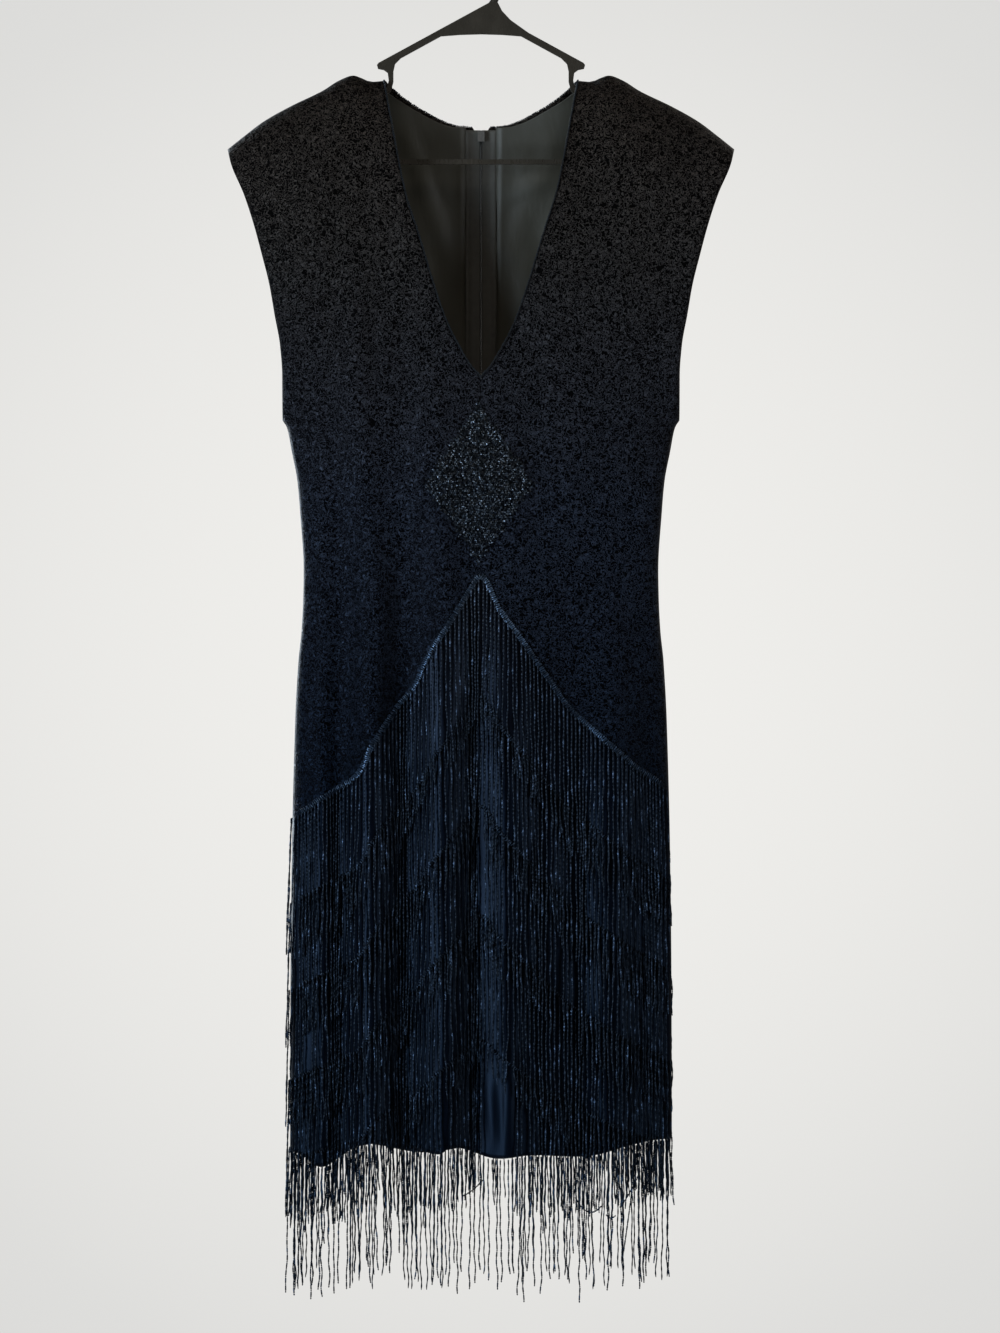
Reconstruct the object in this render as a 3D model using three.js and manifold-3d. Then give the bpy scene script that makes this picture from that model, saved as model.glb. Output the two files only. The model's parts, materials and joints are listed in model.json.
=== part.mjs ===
// A beaded flapper dress hanging on a moulded plastic clothes hanger.
// Millimetres, +Z up. The front faces -Y and the wearer's left is +X.
// The origin is the top of the inside of the hook, where a rail carries the hanger.

import * as THREE from "three";
import { mergeVertices } from "three/addons/utils/BufferGeometryUtils.js";
import Module from "manifold-3d";

const wasm = await Module();
wasm.setup();

// Thicknesses and clearances.
const CLOTH = 2.0;
const LINING = 1.0;
const SEAM_GAP = 0.3;
const LINING_GAP = 0.5;
const HEM_GAP = 0.6;
const STRAND_WALL = 1.2;
const TRIM_WALL = 0.8;
const TRIM_LIFT = 0.7;

// Outline of the body of the dress, half width at each height, from underarm to hem.
const ARMHOLE_BOTTOM_Z = -472;
const ARMHOLE_BOTTOM_X = 188;
const SIDE_SEAM = [
  { z: -472, x: 188 },
  { z: -478, x: 184 },
  { z: -486, x: 182 },
  { z: -500, x: 179.5 },
  { z: -529, x: 174 },
  { z: -557, x: 171.5 },
  { z: -614, x: 168 },
  { z: -642, x: 168.5 },
  { z: -671, x: 170 },
  { z: -700, x: 173 },
  { z: -755, x: 176 },
  { z: -870, x: 179 },
  { z: -1000, x: 180.5 },
  { z: -1180, x: 181 },
];

// Armhole edge seen from the front, from the shoulder tip to the underarm.
const ARMHOLE = [
  { z: -215, x: 240 },
  { z: -231, x: 236 },
  { z: -259, x: 224 },
  { z: -288, x: 214.5 },
  { z: -316, x: 207 },
  { z: -344, x: 200 },
  { z: -373, x: 195 },
  { z: -401, x: 190 },
  { z: -430, x: 188 },
  { z: -472, x: 188 },
];

// Shoulder seam, from the neck point to the shoulder tip.
const SHOULDER_SEAM = [
  { x: 92, z: -150 },
  { x: 104, z: -151 },
  { x: 113, z: -147.5 },
  { x: 121, z: -145 },
  { x: 134, z: -149.5 },
  { x: 151, z: -160 },
  { x: 180, z: -174 },
  { x: 205, z: -188 },
  { x: 225, z: -203 },
  { x: 240, z: -215 },
];
const NECK_POINT_X = 92;
const SHOULDER_TIP_X = 240;

// Edge of the V neck on the front panel.
const V_EDGE = [
  { z: -150, x: 92 },
  { z: -226, x: 78 },
  { z: -259, x: 71 },
  { z: -293, x: 60 },
  { z: -349, x: 43 },
  { z: -382, x: 31 },
  { z: -419, x: 11 },
  { z: -434, x: 0 },
];

// Back neckline, and how far it stands behind the shoulder seam.
const BACK_NECK = [
  { x: 0, z: -193 },
  { x: 20, z: -192 },
  { x: 33, z: -188.5 },
  { x: 56, z: -177 },
  { x: 74, z: -165.5 },
  { x: 92, z: -150 },
];
const BACK_NECK_DEPTH = 30;

// The back opens into a small notch above the zip slider.
const ZIP_NOTCH = [
  { z: -192.5, x: 8 },
  { z: -202, x: 3 },
  { z: -212, x: 0 },
];

// Depth of the front and the back from the plane of the side seams.
const DEPTH = [
  { z: -150, front: 27, back: 30 },
  { z: -250, front: 33, back: 33 },
  { z: -350, front: 35, back: 34 },
  { z: -472, front: 34, back: 34 },
  { z: -614, front: 31, back: 31 },
  { z: -760, front: 35, back: 34 },
  { z: -1180, front: 40, back: 38 },
];
const SHOULDER_ROUND = 70;
const ARMHOLE_OPEN = 26;

// Hem height across the front and the back.
const FRONT_HEM = [
  { x: -190, z: -1163 },
  { x: -176, z: -1167 },
  { x: -153, z: -1178 },
  { x: -114, z: -1157 },
  { x: -88, z: -1154 },
  { x: -39, z: -1165 },
  { x: -28, z: -1158 },
  { x: 16, z: -1169 },
  { x: 49, z: -1166 },
  { x: 94, z: -1168 },
  { x: 143, z: -1157 },
  { x: 169, z: -1153 },
  { x: 190, z: -1152 },
];
const BACK_HEM = [
  { x: -190, z: -1163 },
  { x: -122, z: -1158 },
  { x: -54, z: -1167 },
  { x: 18, z: -1159 },
  { x: 90, z: -1168 },
  { x: 150, z: -1156 },
  { x: 190, z: -1152 },
];

// Hanging folds. Push is outward at full size, and each fold starts below its own height.
const FRONT_FOLDS = [
  { x: -190, push: 0, start: -330 },
  { x: -166, push: 1, start: -450 },
  { x: -152, push: 4, start: -430 },
  { x: -135, push: -8, start: -330 },
  { x: -104, push: 11, start: -290 },
  { x: -73, push: -10, start: -290 },
  { x: -34, push: 9, start: -330 },
  { x: -7.5, push: -7, start: -470 },
  { x: 25.5, push: 7, start: -430 },
  { x: 58, push: -1, start: -450 },
  { x: 91, push: -8, start: -480 },
  { x: 127, push: 7, start: -480 },
  { x: 160, push: -2, start: -520 },
  { x: 190, push: 0, start: -520 },
];
const BACK_FOLDS = [
  { x: -190, push: 0, start: -450 },
  { x: -152, push: 5, start: -430 },
  { x: -122, push: -3, start: -430 },
  { x: -90, push: 9, start: -360 },
  { x: -54, push: -7, start: -380 },
  { x: -18, push: 5, start: -560 },
  { x: 18, push: -3, start: -560 },
  { x: 54, push: 8, start: -420 },
  { x: 90, push: -8, start: -440 },
  { x: 122, push: 8, start: -440 },
  { x: 152, push: -3, start: -500 },
  { x: 190, push: 0, start: -500 },
];
const FOLD_GROWTH = 480;

// Columns of the cloth grids, named by their distance from the centre at the underarm.
const FRONT_LEFT_COLUMNS = [0, 12, 25.5, 41, 58, 75, 91, 109, 127, 145, 160, 172, 181, 188];
const FRONT_RIGHT_COLUMNS = [0, 7.5, 20, 34, 53, 73, 88, 104, 119, 135, 152, 166, 179, 188];
const BACK_COLUMNS = [0, 18, 36, 54, 61.5, 68.1, 78, 90, 106, 122, 137, 152, 168, 180, 188];
const STRAIGHT_COLUMNS = 140;

// Rows of the cloth grids: 0 at the shoulder, 1 at the underarm, 2 at the hem.
const FRONT_YOKE_ROWS = [0, 0.002, 0.01, 0.03, 0.07, 0.14, 0.25, 0.39, 0.55, 0.72, 0.835, 0.882, 0.95, 1];
const BACK_YOKE_ROWS = [0, 0.002, 0.01, 0.03, 0.07, 0.14, 0.25, 0.39, 0.57, 0.76, 0.88, 0.96, 1];
const SKIRT_ROWS = [1.02, 1.06, 1.12, 1.2, 1.28, 1.36, 1.45, 1.55, 1.66, 1.77, 1.89, 2];

// Fringe rows: height of the point at the centre, how much lower the row ends at the wearer's
// left side seam, and the length of its strands. The dress hangs a little lower on its right.
const FRINGE_ROWS = [
  { apex: -620, drop: 205, length: 136 },
  { apex: -734, drop: 175, length: 136 },
  { apex: -837, drop: 156, length: 136 },
  { apex: -940, drop: 140, length: 138 },
  { apex: -1058, drop: 102, length: 140 },
];
// Share of that fall at each x, read off the rows in the photo. Between -104 and -78 the rows
// run through a dark fold and are not readable, and past -176 the curve is carried on.
const FRINGE_CURVE = [
  { x: -184, fall: 1.12 },
  { x: -176, fall: 1.1 },
  { x: -161, fall: 1.06 },
  { x: -150, fall: 1.02 },
  { x: -140, fall: 0.99 },
  { x: -129, fall: 0.96 },
  { x: -117, fall: 0.92 },
  { x: -109, fall: 0.86 },
  { x: -104, fall: 0.79 },
  { x: -78, fall: 0.59 },
  { x: -72, fall: 0.56 },
  { x: -61, fall: 0.5 },
  { x: -55, fall: 0.43 },
  { x: -45, fall: 0.33 },
  { x: -34, fall: 0.25 },
  { x: -28, fall: 0.2 },
  { x: -13, fall: 0.08 },
  { x: 0, fall: 0 },
  { x: 19, fall: 0.161 },
  { x: 38, fall: 0.288 },
  { x: 59, fall: 0.439 },
  { x: 85, fall: 0.615 },
  { x: 101, fall: 0.683 },
  { x: 129, fall: 0.805 },
  { x: 146, fall: 0.878 },
  { x: 163, fall: 0.932 },
  { x: 184, fall: 1 },
];
const FRINGE_LIFT = 0.7;
const FRINGE_FLARE = 4.2;
const HEM_STRANDS = 138;
const FRINGE_TOP_BELOW_LINE = 4;
const BAND_HALF_HEIGHT = 3.2;

// Diamond of beads at the waist.
const DIAMOND = { x: -2, z: -532, halfWidth: 52, halfHeight: 77 };

// Zip at the centre back.
const ZIP_BOTTOM_Z = -598;
const ZIP_TOP_Z = -195;
const TAPE_INNER_X = 1.3;
const TAPE_OUTER_X = 13.9;
const COIL_HALF_WIDTH = 1.0;
const COIL_TOP_Z = -206.4;
const SLIDER_Z = -201;
const PIN_RADIUS = 0.55;
const EYE_RADIUS = 0.85;
const PIN_STAND_OFF = 2.7;
const PULL_LENGTH = 22;
const PULL_WIDTH = 5.2;
const PULL_THICKNESS = 1.2;

// Hanger.
const HANGER_THICKNESS = 7;
const HOOK_WIRE_RADIUS = 3.5;
const HOOK_INNER_RADIUS = 19;
const ARM_BELOW_SEAM = 6.6;
const ARM_HEIGHT = 7;
const BAR_TOP_Z = -224.5;
const BAR_BOTTOM_Z = -229.3;

// ---- Tables and curves ----

function readTable(table, key, value, at) {
  const rising = table[table.length - 1][key] > table[0][key];
  for (let i = 1; i < table.length; i++) {
    const low = table[i - 1];
    const high = table[i];
    const inside = rising ? at <= high[key] : at >= high[key];
    if (inside || i === table.length - 1) {
      const part = (at - low[key]) / (high[key] - low[key]);
      const held = Math.min(Math.max(part, 0), 1);
      return low[value] + (high[value] - low[value]) * held;
    }
  }
  return table[0][value];
}

function ease(part) {
  const held = Math.min(Math.max(part, 0), 1);
  return held * held * (3 - 2 * held);
}

// Outward push of the folds at one place: eased between neighbouring folds of the table.
function foldPush(folds, x, z) {
  let i = 1;
  while (i < folds.length - 1 && x > folds[i].x) {
    i += 1;
  }
  const left = folds[i - 1];
  const right = folds[i];
  const share = ease((x - left.x) / (right.x - left.x));
  const leftPush = left.push * ease((left.start - z) / FOLD_GROWTH);
  const rightPush = right.push * ease((right.start - z) / FOLD_GROWTH);
  return leftPush + (rightPush - leftPush) * share;
}

// Depth share across a panel: 1 at the centre and 0 at the side seam.
function crossShare(part) {
  return Math.pow(Math.max(1 - Math.pow(part, 2.2), 0), 0.6);
}

// Depth share below the top edge. A padded shoulder, power 0.5, rounds over to the front and
// back. A neckline, power nearer 1, starts almost plumb.
function topShare(below, power) {
  const left = 1 - Math.min(Math.max(below / SHOULDER_ROUND, 0), 1);
  return Math.pow(1 - left * left, power);
}

// ---- The surface of the dress ----

const front = {
  facing: -1,
  depthKey: "front",
  folds: FRONT_FOLDS,
  hem: FRONT_HEM,
  topInnerX: NECK_POINT_X,
  innerX: (z) => readTable(V_EDGE, "z", "x", z),
  topZ: (x) => readTable(SHOULDER_SEAM, "x", "z", x),
  topDepth: () => 0,
};

const back = {
  facing: 1,
  depthKey: "back",
  folds: BACK_FOLDS,
  hem: BACK_HEM,
  topInnerX: 8,
  innerX: (z) => readTable(ZIP_NOTCH, "z", "x", z),
  topZ: (x) => readTable(x < NECK_POINT_X ? BACK_NECK : SHOULDER_SEAM, "x", "z", x),
  topDepth: (x) => {
    const part = Math.min(x / NECK_POINT_X, 1);
    return BACK_NECK_DEPTH * Math.pow(1 - part * part, 0.45);
  },
};

// A place above the underarm: columns squeeze between the neck edge and the armhole.
function yokePoint(half, side, column, row) {
  const share = column / ARMHOLE_BOTTOM_X;
  const topX = half.topInnerX + (SHOULDER_TIP_X - half.topInnerX) * share;
  const topZ = half.topZ(topX);
  const z = topZ + (ARMHOLE_BOTTOM_Z - topZ) * row;
  const innerTopZ = half.topZ(half.topInnerX);
  const innerX = half.innerX(innerTopZ + (ARMHOLE_BOTTOM_Z - innerTopZ) * row);
  const tipZ = half.topZ(SHOULDER_TIP_X);
  const outerX = readTable(ARMHOLE, "z", "x", tipZ + (ARMHOLE_BOTTOM_Z - tipZ) * row);
  const x = innerX + (outerX - innerX) * share;
  const cross = crossShare(share);
  const edge = ARMHOLE_OPEN * Math.sqrt(Math.max(1 - row * row * row, 0));
  const full = readTable(DEPTH, "z", half.depthKey, z) * cross + edge * (1 - cross);
  const start = half.topDepth(topX);
  const power = 1 - 0.5 * Math.pow(Math.min(topX / NECK_POINT_X, 1), 4);
  const depth = start + (full - start) * topShare(topZ - z, power);
  const fold = foldPush(half.folds, side * x, z) * (1 - Math.pow(share, 8));
  return new THREE.Vector3(side * x, half.facing * (depth + fold), z);
}

// A place below the underarm: columns hang straight, and only the outer ones follow the side.
function skirtPoint(half, side, column, row) {
  const hem = readTable(half.hem, "x", "z", side * column);
  const z = ARMHOLE_BOTTOM_Z + (hem - ARMHOLE_BOTTOM_Z) * (row - 1);
  const sideX = readTable(SIDE_SEAM, "z", "x", z);
  const outerShare = Math.max(column - STRAIGHT_COLUMNS, 0) / (ARMHOLE_BOTTOM_X - STRAIGHT_COLUMNS);
  const x = Math.min(column, STRAIGHT_COLUMNS) + (sideX - STRAIGHT_COLUMNS) * outerShare;
  const part = x / sideX;
  const depth = readTable(DEPTH, "z", half.depthKey, z) * crossShare(part);
  const fold = foldPush(half.folds, side * x, z) * (1 - Math.pow(Math.min(part, 1), 8));
  return new THREE.Vector3(side * x, half.facing * (depth + fold), z);
}

function surfacePoint(half, side, column, row) {
  return row <= 1 ? yokePoint(half, side, column, row) : skirtPoint(half, side, column, row);
}

// Outward direction at one place of a grid of points, from its neighbours.
function gridNormal(points, c, r, facing) {
  const across = points[Math.min(c + 1, points.length - 1)][r].clone();
  across.sub(points[Math.max(c - 1, 0)][r]);
  const along = points[c][Math.min(r + 1, points[c].length - 1)].clone();
  along.sub(points[c][Math.max(r - 1, 0)]);
  const normal = across.cross(along).normalize();
  return normal.y * facing < 0 ? normal.negate() : normal;
}

// The places of one half panel, each with its point and its outward direction. Offsets are
// level below the underarm, straight up at the shoulder seam and sideways at the side seam.
function panelGrid(half, side, columns, rows) {
  const points = columns.map((column) => rows.map((row) => surfacePoint(half, side, column, row)));
  return columns.map((column, c) => rows.map((row, r) => {
    const place = { point: points[c][r], normal: gridNormal(points, c, r, half.facing) };
    if (row > 1) {
      levelNormal(place);
    }
    if (row === 0 && half.topDepth(Math.abs(place.point.x)) < 1) {
      place.normal.set(0, 0, 1);
    }
    if (row >= 1 && column === ARMHOLE_BOTTOM_X) {
      place.normal.set(side, 0, 0);
    }
    return place;
  }));
}

// ---- Closed walls from grids of places ----

// Steps a place off the surface, and keeps it on its own side of the seams.
function offPlace(place, distance, keep) {
  const point = place.point.clone().addScaledVector(place.normal, distance);
  const half = SEAM_GAP / 2;
  if (keep.y) {
    point.y = keep.y * Math.max(keep.y * point.y, half);
  }
  if (keep.x) {
    point.x = keep.x * Math.max(keep.x * point.x, half);
  }
  return point;
}

// A closed wall over one or more grids. Equal places are shared, so grids can join.
function wallGeometry(grids, near, far, keep) {
  const index = new Map();
  const places = [];
  const find = (place) => {
    const p = place.point;
    const key = `${p.x.toFixed(3)},${p.y.toFixed(3)},${p.z.toFixed(3)}`;
    if (!index.has(key)) {
      index.set(key, places.length);
      places.push(place);
    }
    return index.get(key);
  };
  const turned = [];
  for (const grid of grids) {
    const faces = [];
    for (let c = 1; c < grid.length; c++) {
      for (let r = 1; r < grid[c].length; r++) {
        const corners = [grid[c - 1][r - 1], grid[c][r - 1], grid[c][r], grid[c - 1][r]].map(find);
        addTriangle(faces, corners[0], corners[1], corners[2]);
        addTriangle(faces, corners[0], corners[2], corners[3]);
      }
    }
    turned.push(...turnOutward(faces, places));
  }
  return closeWall(places, turned, near, far, keep);
}

function addTriangle(faces, a, b, c) {
  if (a !== b && b !== c && a !== c) {
    faces.push([a, b, c]);
  }
}

// Turns a grid's triangles over together where they face inward on the whole.
function turnOutward(faces, places) {
  let outward = 0;
  for (const [a, b, c] of faces) {
    const ab = places[b].point.clone().sub(places[a].point);
    const ac = places[c].point.clone().sub(places[a].point);
    outward += ab.cross(ac).dot(places[a].normal);
  }
  return outward < 0 ? faces.map(([a, b, c]) => [a, c, b]) : faces;
}

function closeWall(places, faces, near, far, keep) {
  const count = places.length;
  const positions = [];
  for (const place of places) {
    positions.push(...offPlace(place, place.far ?? far, keep).toArray());
  }
  for (const place of places) {
    positions.push(...offPlace(place, place.near ?? near, keep).toArray());
  }
  const triangles = [];
  const edges = new Map();
  for (const [a, b, c] of faces) {
    triangles.push(a, b, c, a + count, c + count, b + count);
    for (const [from, to] of [[a, b], [b, c], [c, a]]) {
      edges.set(`${from},${to}`, [from, to]);
    }
  }
  for (const [from, to] of edges.values()) {
    if (!edges.has(`${to},${from}`)) {
      triangles.push(from, from + count, to + count, from, to + count, to);
    }
  }
  return meshGeometry(positions, triangles);
}

function meshGeometry(positions, triangles) {
  const geometry = new THREE.BufferGeometry();
  geometry.setAttribute("position", new THREE.Float32BufferAttribute(positions, 3));
  geometry.setIndex(triangles);
  geometry.computeVertexNormals();
  return geometry;
}

// ---- Reading the panels back, so that trims and fringe lie on their facets ----

// The place on a column at one height. Below the hem the column hangs plumb.
function columnAt(column, z) {
  for (let r = 1; r < column.length; r++) {
    const upper = column[r - 1];
    const lower = column[r];
    if (z >= lower.point.z) {
      const part = Math.max((upper.point.z - z) / (upper.point.z - lower.point.z), 0);
      return blendPlaces(upper, lower, part);
    }
  }
  const hem = column[column.length - 1];
  const point = hem.point.clone();
  point.z = z;
  return { point, normal: hem.normal.clone() };
}

function blendPlaces(first, second, part) {
  return {
    point: first.point.clone().lerp(second.point, part),
    normal: first.normal.clone().lerp(second.normal, part).normalize(),
  };
}

// The place on a whole panel at one x and height.
function panelAt(columns, x, z) {
  const across = columns.map((column) => columnAt(column, z));
  for (let c = 1; c < across.length; c++) {
    const low = across[c - 1];
    const high = across[c];
    if (x <= high.point.x || c === across.length - 1) {
      const part = (x - low.point.x) / (high.point.x - low.point.x);
      return blendPlaces(low, high, Math.min(Math.max(part, 0), 1));
    }
  }
  return across[0];
}

function levelNormal(place) {
  place.normal.z = 0;
  place.normal.normalize();
  return place;
}

function fringeLine(row, x) {
  return row.apex - row.drop * readTable(FRINGE_CURVE, "x", "fall", x);
}

// Strand walls stand further off the cloth lower down, so each row lies over the next.
function fringeGrid(columns, hemTable, row) {
  return columns.map((column) => {
    const hemPlace = column[column.length - 1].point;
    const hem = readTable(hemTable, "x", "z", hemPlace.x);
    const top = Math.max(fringeLine(row, hemPlace.x) - FRINGE_TOP_BELOW_LINE, hem + 6);
    return [0, 1].map((part) => {
      const place = levelNormal(columnAt(column, top - row.length * part));
      place.near = FRINGE_LIFT + FRINGE_FLARE * part;
      place.far = place.near + STRAND_WALL;
      return place;
    });
  });
}

// The last strands hang from the hem itself, in line with the cloth.
function hemGrid(columns) {
  return columns.map((column) => {
    const hem = column[column.length - 1].point.z;
    return [HEM_GAP, HEM_STRANDS].map((fall) => {
      return levelNormal(columnAt(column, hem - fall));
    });
  });
}

// ---- Booleans ----

function solidOf(geometry) {
  const plain = geometry.clone();
  plain.deleteAttribute("normal");
  plain.deleteAttribute("uv");
  const merged = mergeVertices(plain, 1e-4);
  const vertProperties = new Float32Array(merged.attributes.position.array);
  const triVerts = new Uint32Array(merged.index.array);
  return new wasm.Manifold(new wasm.Mesh({ numProp: 3, vertProperties, triVerts }));
}

function geometryOf(solid) {
  const mesh = solid.getMesh();
  return meshGeometry(Array.from(mesh.vertProperties), Array.from(mesh.triVerts));
}

function boxSolid(low, high) {
  const size = [0, 1, 2].map((i) => high[i] - low[i]);
  const geometry = new THREE.BoxGeometry(size[0], size[1], size[2]);
  geometry.translate(low[0] + size[0] / 2, low[1] + size[1] / 2, low[2] + size[2] / 2);
  return solidOf(geometry);
}

// A round bar along X.
function barSolid(radius, halfLength, y, z) {
  const geometry = new THREE.CylinderGeometry(radius, radius, halfLength * 2, 20);
  geometry.rotateZ(Math.PI / 2);
  geometry.translate(0, y, z);
  return solidOf(geometry);
}

// ---- Hanger ----

// Right half of the outer edge, from below the hook round to the middle of the bottom bar.
function hangerOutline() {
  const arm = [121, 134, 151, 180, 205].map((x) => [x, front.topZ(x) - ARM_BELOW_SEAM]);
  return [
    [97, -133.1], [98.6, -135.2], [97.6, -138.6], [92, -139.8], [88.4, -142.5], [87.4, -150],
    [89, -156.4], [95, -158.8], [102, -158.6], [111, -155.4],
    ...arm,
    [213, -203.5], [218.4, -209.5], [219.5, -217], [214, -225.5], [204, BAR_BOTTOM_Z],
  ];
}

// Right half of the triangular opening.
function hangerOpening() {
  const arm = [121, 134, 151, 180].map((x) => [x, front.topZ(x) - ARM_BELOW_SEAM - ARM_HEIGHT]);
  return [
    [20, -106.4], [38, -107.8], [76, -128.6], [81.4, -134], [83, -141], [83, -151],
    [85.4, -160.2], [92, -164.4], [100, -165.4], [111, -162.4],
    ...arm,
    [197, -199], [206, -206.5], [209, -212.5], [206, -220.5], [198, BAR_TOP_Z],
  ];
}

function mirrored(points) {
  return points.map(([x, z]) => [-x, z]).reverse();
}

function hangerSolid() {
  const crown = [[9, -75.4], [15.6, -75.4], [20, -84], [28, -92.6], [45, -104.7]];
  const outline = [...crown, ...hangerOutline(), ...mirrored(hangerOutline())];
  const shape = new THREE.Shape(outline.map(([x, z]) => new THREE.Vector2(x, z)));
  const opening = [[0, -105.8], ...hangerOpening(), ...mirrored(hangerOpening())].reverse();
  shape.holes.push(new THREE.Path(opening.map(([x, z]) => new THREE.Vector2(x, z))));
  const plate = new THREE.ExtrudeGeometry(shape, { depth: HANGER_THICKNESS, bevelEnabled: false });
  plate.rotateX(Math.PI / 2);
  plate.translate(0, HANGER_THICKNESS / 2, 0);
  return solidOf(plate).add(solidOf(hookGeometry()));
}

// The hook leans out of the crown and turns over the rail.
function hookGeometry() {
  const radius = HOOK_INNER_RADIUS + HOOK_WIRE_RADIUS;
  const points = [[3, -88], [12.6, -74], [19, -56], [22.4, -37]];
  for (let degrees = 0; degrees <= 195; degrees += 15) {
    const angle = THREE.MathUtils.degToRad(degrees);
    points.push([radius * Math.cos(angle), radius * Math.sin(angle) - HOOK_INNER_RADIUS]);
  }
  points.push([-23.2, -36]);
  const curve = new THREE.CatmullRomCurve3(points.map(([x, z]) => new THREE.Vector3(x, 0, z)));
  const ring = new THREE.Shape();
  ring.absarc(0, 0, HOOK_WIRE_RADIUS, 0, Math.PI * 2, false);
  return new THREE.ExtrudeGeometry(ring, { steps: 44, curveSegments: 6, extrudePath: curve });
}

// ---- Zip ----

function tapeGrid(columns, side) {
  const heights = [ZIP_TOP_Z, -206, -230, -270, -320, -372, -420, -472, -506, -540, ZIP_BOTTOM_Z];
  const edges = [TAPE_INNER_X, TAPE_OUTER_X].map((x) => side * x).sort((a, b) => a - b);
  return edges.map((x) => heights.map((z) => placeAtX(columns, x, z)));
}

function placeAtX(columns, x, z) {
  const place = panelAt(columns, x, z);
  place.point.x = x;
  place.normal.set(0, 1, 0);
  return place;
}

function coilGrid(columns) {
  const heights = [COIL_TOP_Z, -230, -270, -320, -372, -420, -472, -506, -540, ZIP_BOTTOM_Z];
  return [-COIL_HALF_WIDTH, COIL_HALF_WIDTH].map((x) => {
    return heights.map((z) => placeAtX(columns, x, z));
  });
}

// Slider: a body on the coil, a neck through the gap in the back and a crown with a pin.
function sliderSolid(backY) {
  const inner = backY - CLOTH - LINING - 3 * LINING_GAP;
  const pinY = backY + PIN_STAND_OFF;
  const body = boxSolid([-3.2, inner - 2.8, SLIDER_Z - 5], [3.2, inner, SLIDER_Z + 5]);
  const neck = boxSolid([-1, inner - 1, SLIDER_Z], [1, pinY, SLIDER_Z + 3.5]);
  const crown = boxSolid([-1, backY + 0.8, SLIDER_Z - 1.6], [1, pinY + 1, SLIDER_Z + 3.5]);
  return body.add(neck).add(crown).add(barSolid(PIN_RADIUS, 2.6, pinY, SLIDER_Z));
}

// Pull tab: a plate forked at the top, with an eye through each ear for the slider's pin.
function pullSolid(backY) {
  const pinY = backY + PIN_STAND_OFF;
  const low = [-PULL_WIDTH / 2, pinY - PULL_THICKNESS / 2, SLIDER_Z - PULL_LENGTH];
  const high = [PULL_WIDTH / 2, pinY + PULL_THICKNESS / 2, SLIDER_Z];
  const ears = barSolid(1.6, PULL_WIDTH / 2, pinY, SLIDER_Z);
  const slot = boxSolid([-1.4, pinY - 3, SLIDER_Z - 3.9], [1.4, pinY + 3, SLIDER_Z + 3]);
  const eyes = barSolid(EYE_RADIUS, PULL_WIDTH, pinY, SLIDER_Z);
  return boxSolid(low, high).add(ears).subtract(slot).subtract(eyes);
}

// ---- Trims ----

// Diamond: rows across it, clipped to its width, on the panel's own columns.
function diamondGrid(columns) {
  const steps = [-1, -0.8, -0.6, -0.4, -0.2, 0, 0.2, 0.4, 0.6, 0.8, 1];
  const xs = columns.map((column) => column[column.length - 1].point.x);
  const inside = xs.filter((x) => Math.abs(x - DIAMOND.x) < DIAMOND.halfWidth);
  const all = [DIAMOND.x - DIAMOND.halfWidth, ...inside, DIAMOND.x + DIAMOND.halfWidth];
  return all.map((x) => steps.map((step) => {
    const reach = DIAMOND.halfWidth * (1 - Math.abs(step));
    const held = Math.min(Math.max(x, DIAMOND.x - reach), DIAMOND.x + reach);
    return panelAt(columns, held, DIAMOND.z - DIAMOND.halfHeight * step);
  }));
}

function bandGrid(columns, row) {
  return columns.map((column) => {
    const x = column[column.length - 1].point.x;
    const line = fringeLine(row, x);
    return [BAND_HALF_HEIGHT, -BAND_HALF_HEIGHT].map((rise) => columnAt(column, line + rise));
  });
}

// ---- Materials ----

const beadedCloth = new THREE.MeshStandardMaterial({ color: "#12141a", roughness: 0.55, metalness: 0.1 });
const liningCloth = new THREE.MeshStandardMaterial({ color: "#26282a", roughness: 0.45, metalness: 0 });
const strandBeads = new THREE.MeshStandardMaterial({ color: "#0c0e14", roughness: 0.35, metalness: 0.2 });
const paleBeads = new THREE.MeshStandardMaterial({ color: "#6d7076", roughness: 0.3, metalness: 0.4 });
const tapeCloth = new THREE.MeshStandardMaterial({ color: "#2e2e2a", roughness: 0.8, metalness: 0 });
const zipMetal = new THREE.MeshStandardMaterial({ color: "#8d8f92", roughness: 0.3, metalness: 0.9 });
const hangerPlastic = new THREE.MeshStandardMaterial({ color: "#1d1816", roughness: 0.4, metalness: 0 });

// ---- Assembly ----

const FRONT_ROWS = [...FRONT_YOKE_ROWS, ...SKIRT_ROWS];
const BACK_ROWS = [...BACK_YOKE_ROWS, ...SKIRT_ROWS];
const dress = new THREE.Group();

function addPiece(name, geometry, material) {
  const mesh = new THREE.Mesh(geometry, material.clone());
  mesh.name = name;
  dress.add(mesh);
}

const frontLeft = panelGrid(front, 1, FRONT_LEFT_COLUMNS, FRONT_ROWS);
const frontRight = panelGrid(front, -1, FRONT_RIGHT_COLUMNS, FRONT_ROWS);
const backLeft = panelGrid(back, 1, BACK_COLUMNS, BACK_ROWS);
const backRight = panelGrid(back, -1, BACK_COLUMNS, BACK_ROWS);

const frontColumns = [...frontRight.slice(1).reverse(), ...frontLeft];
const backColumns = [...backRight.slice(1).reverse(), ...backLeft];
const keepFront = { y: -1 };
const keepBack = { y: 1 };

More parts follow.
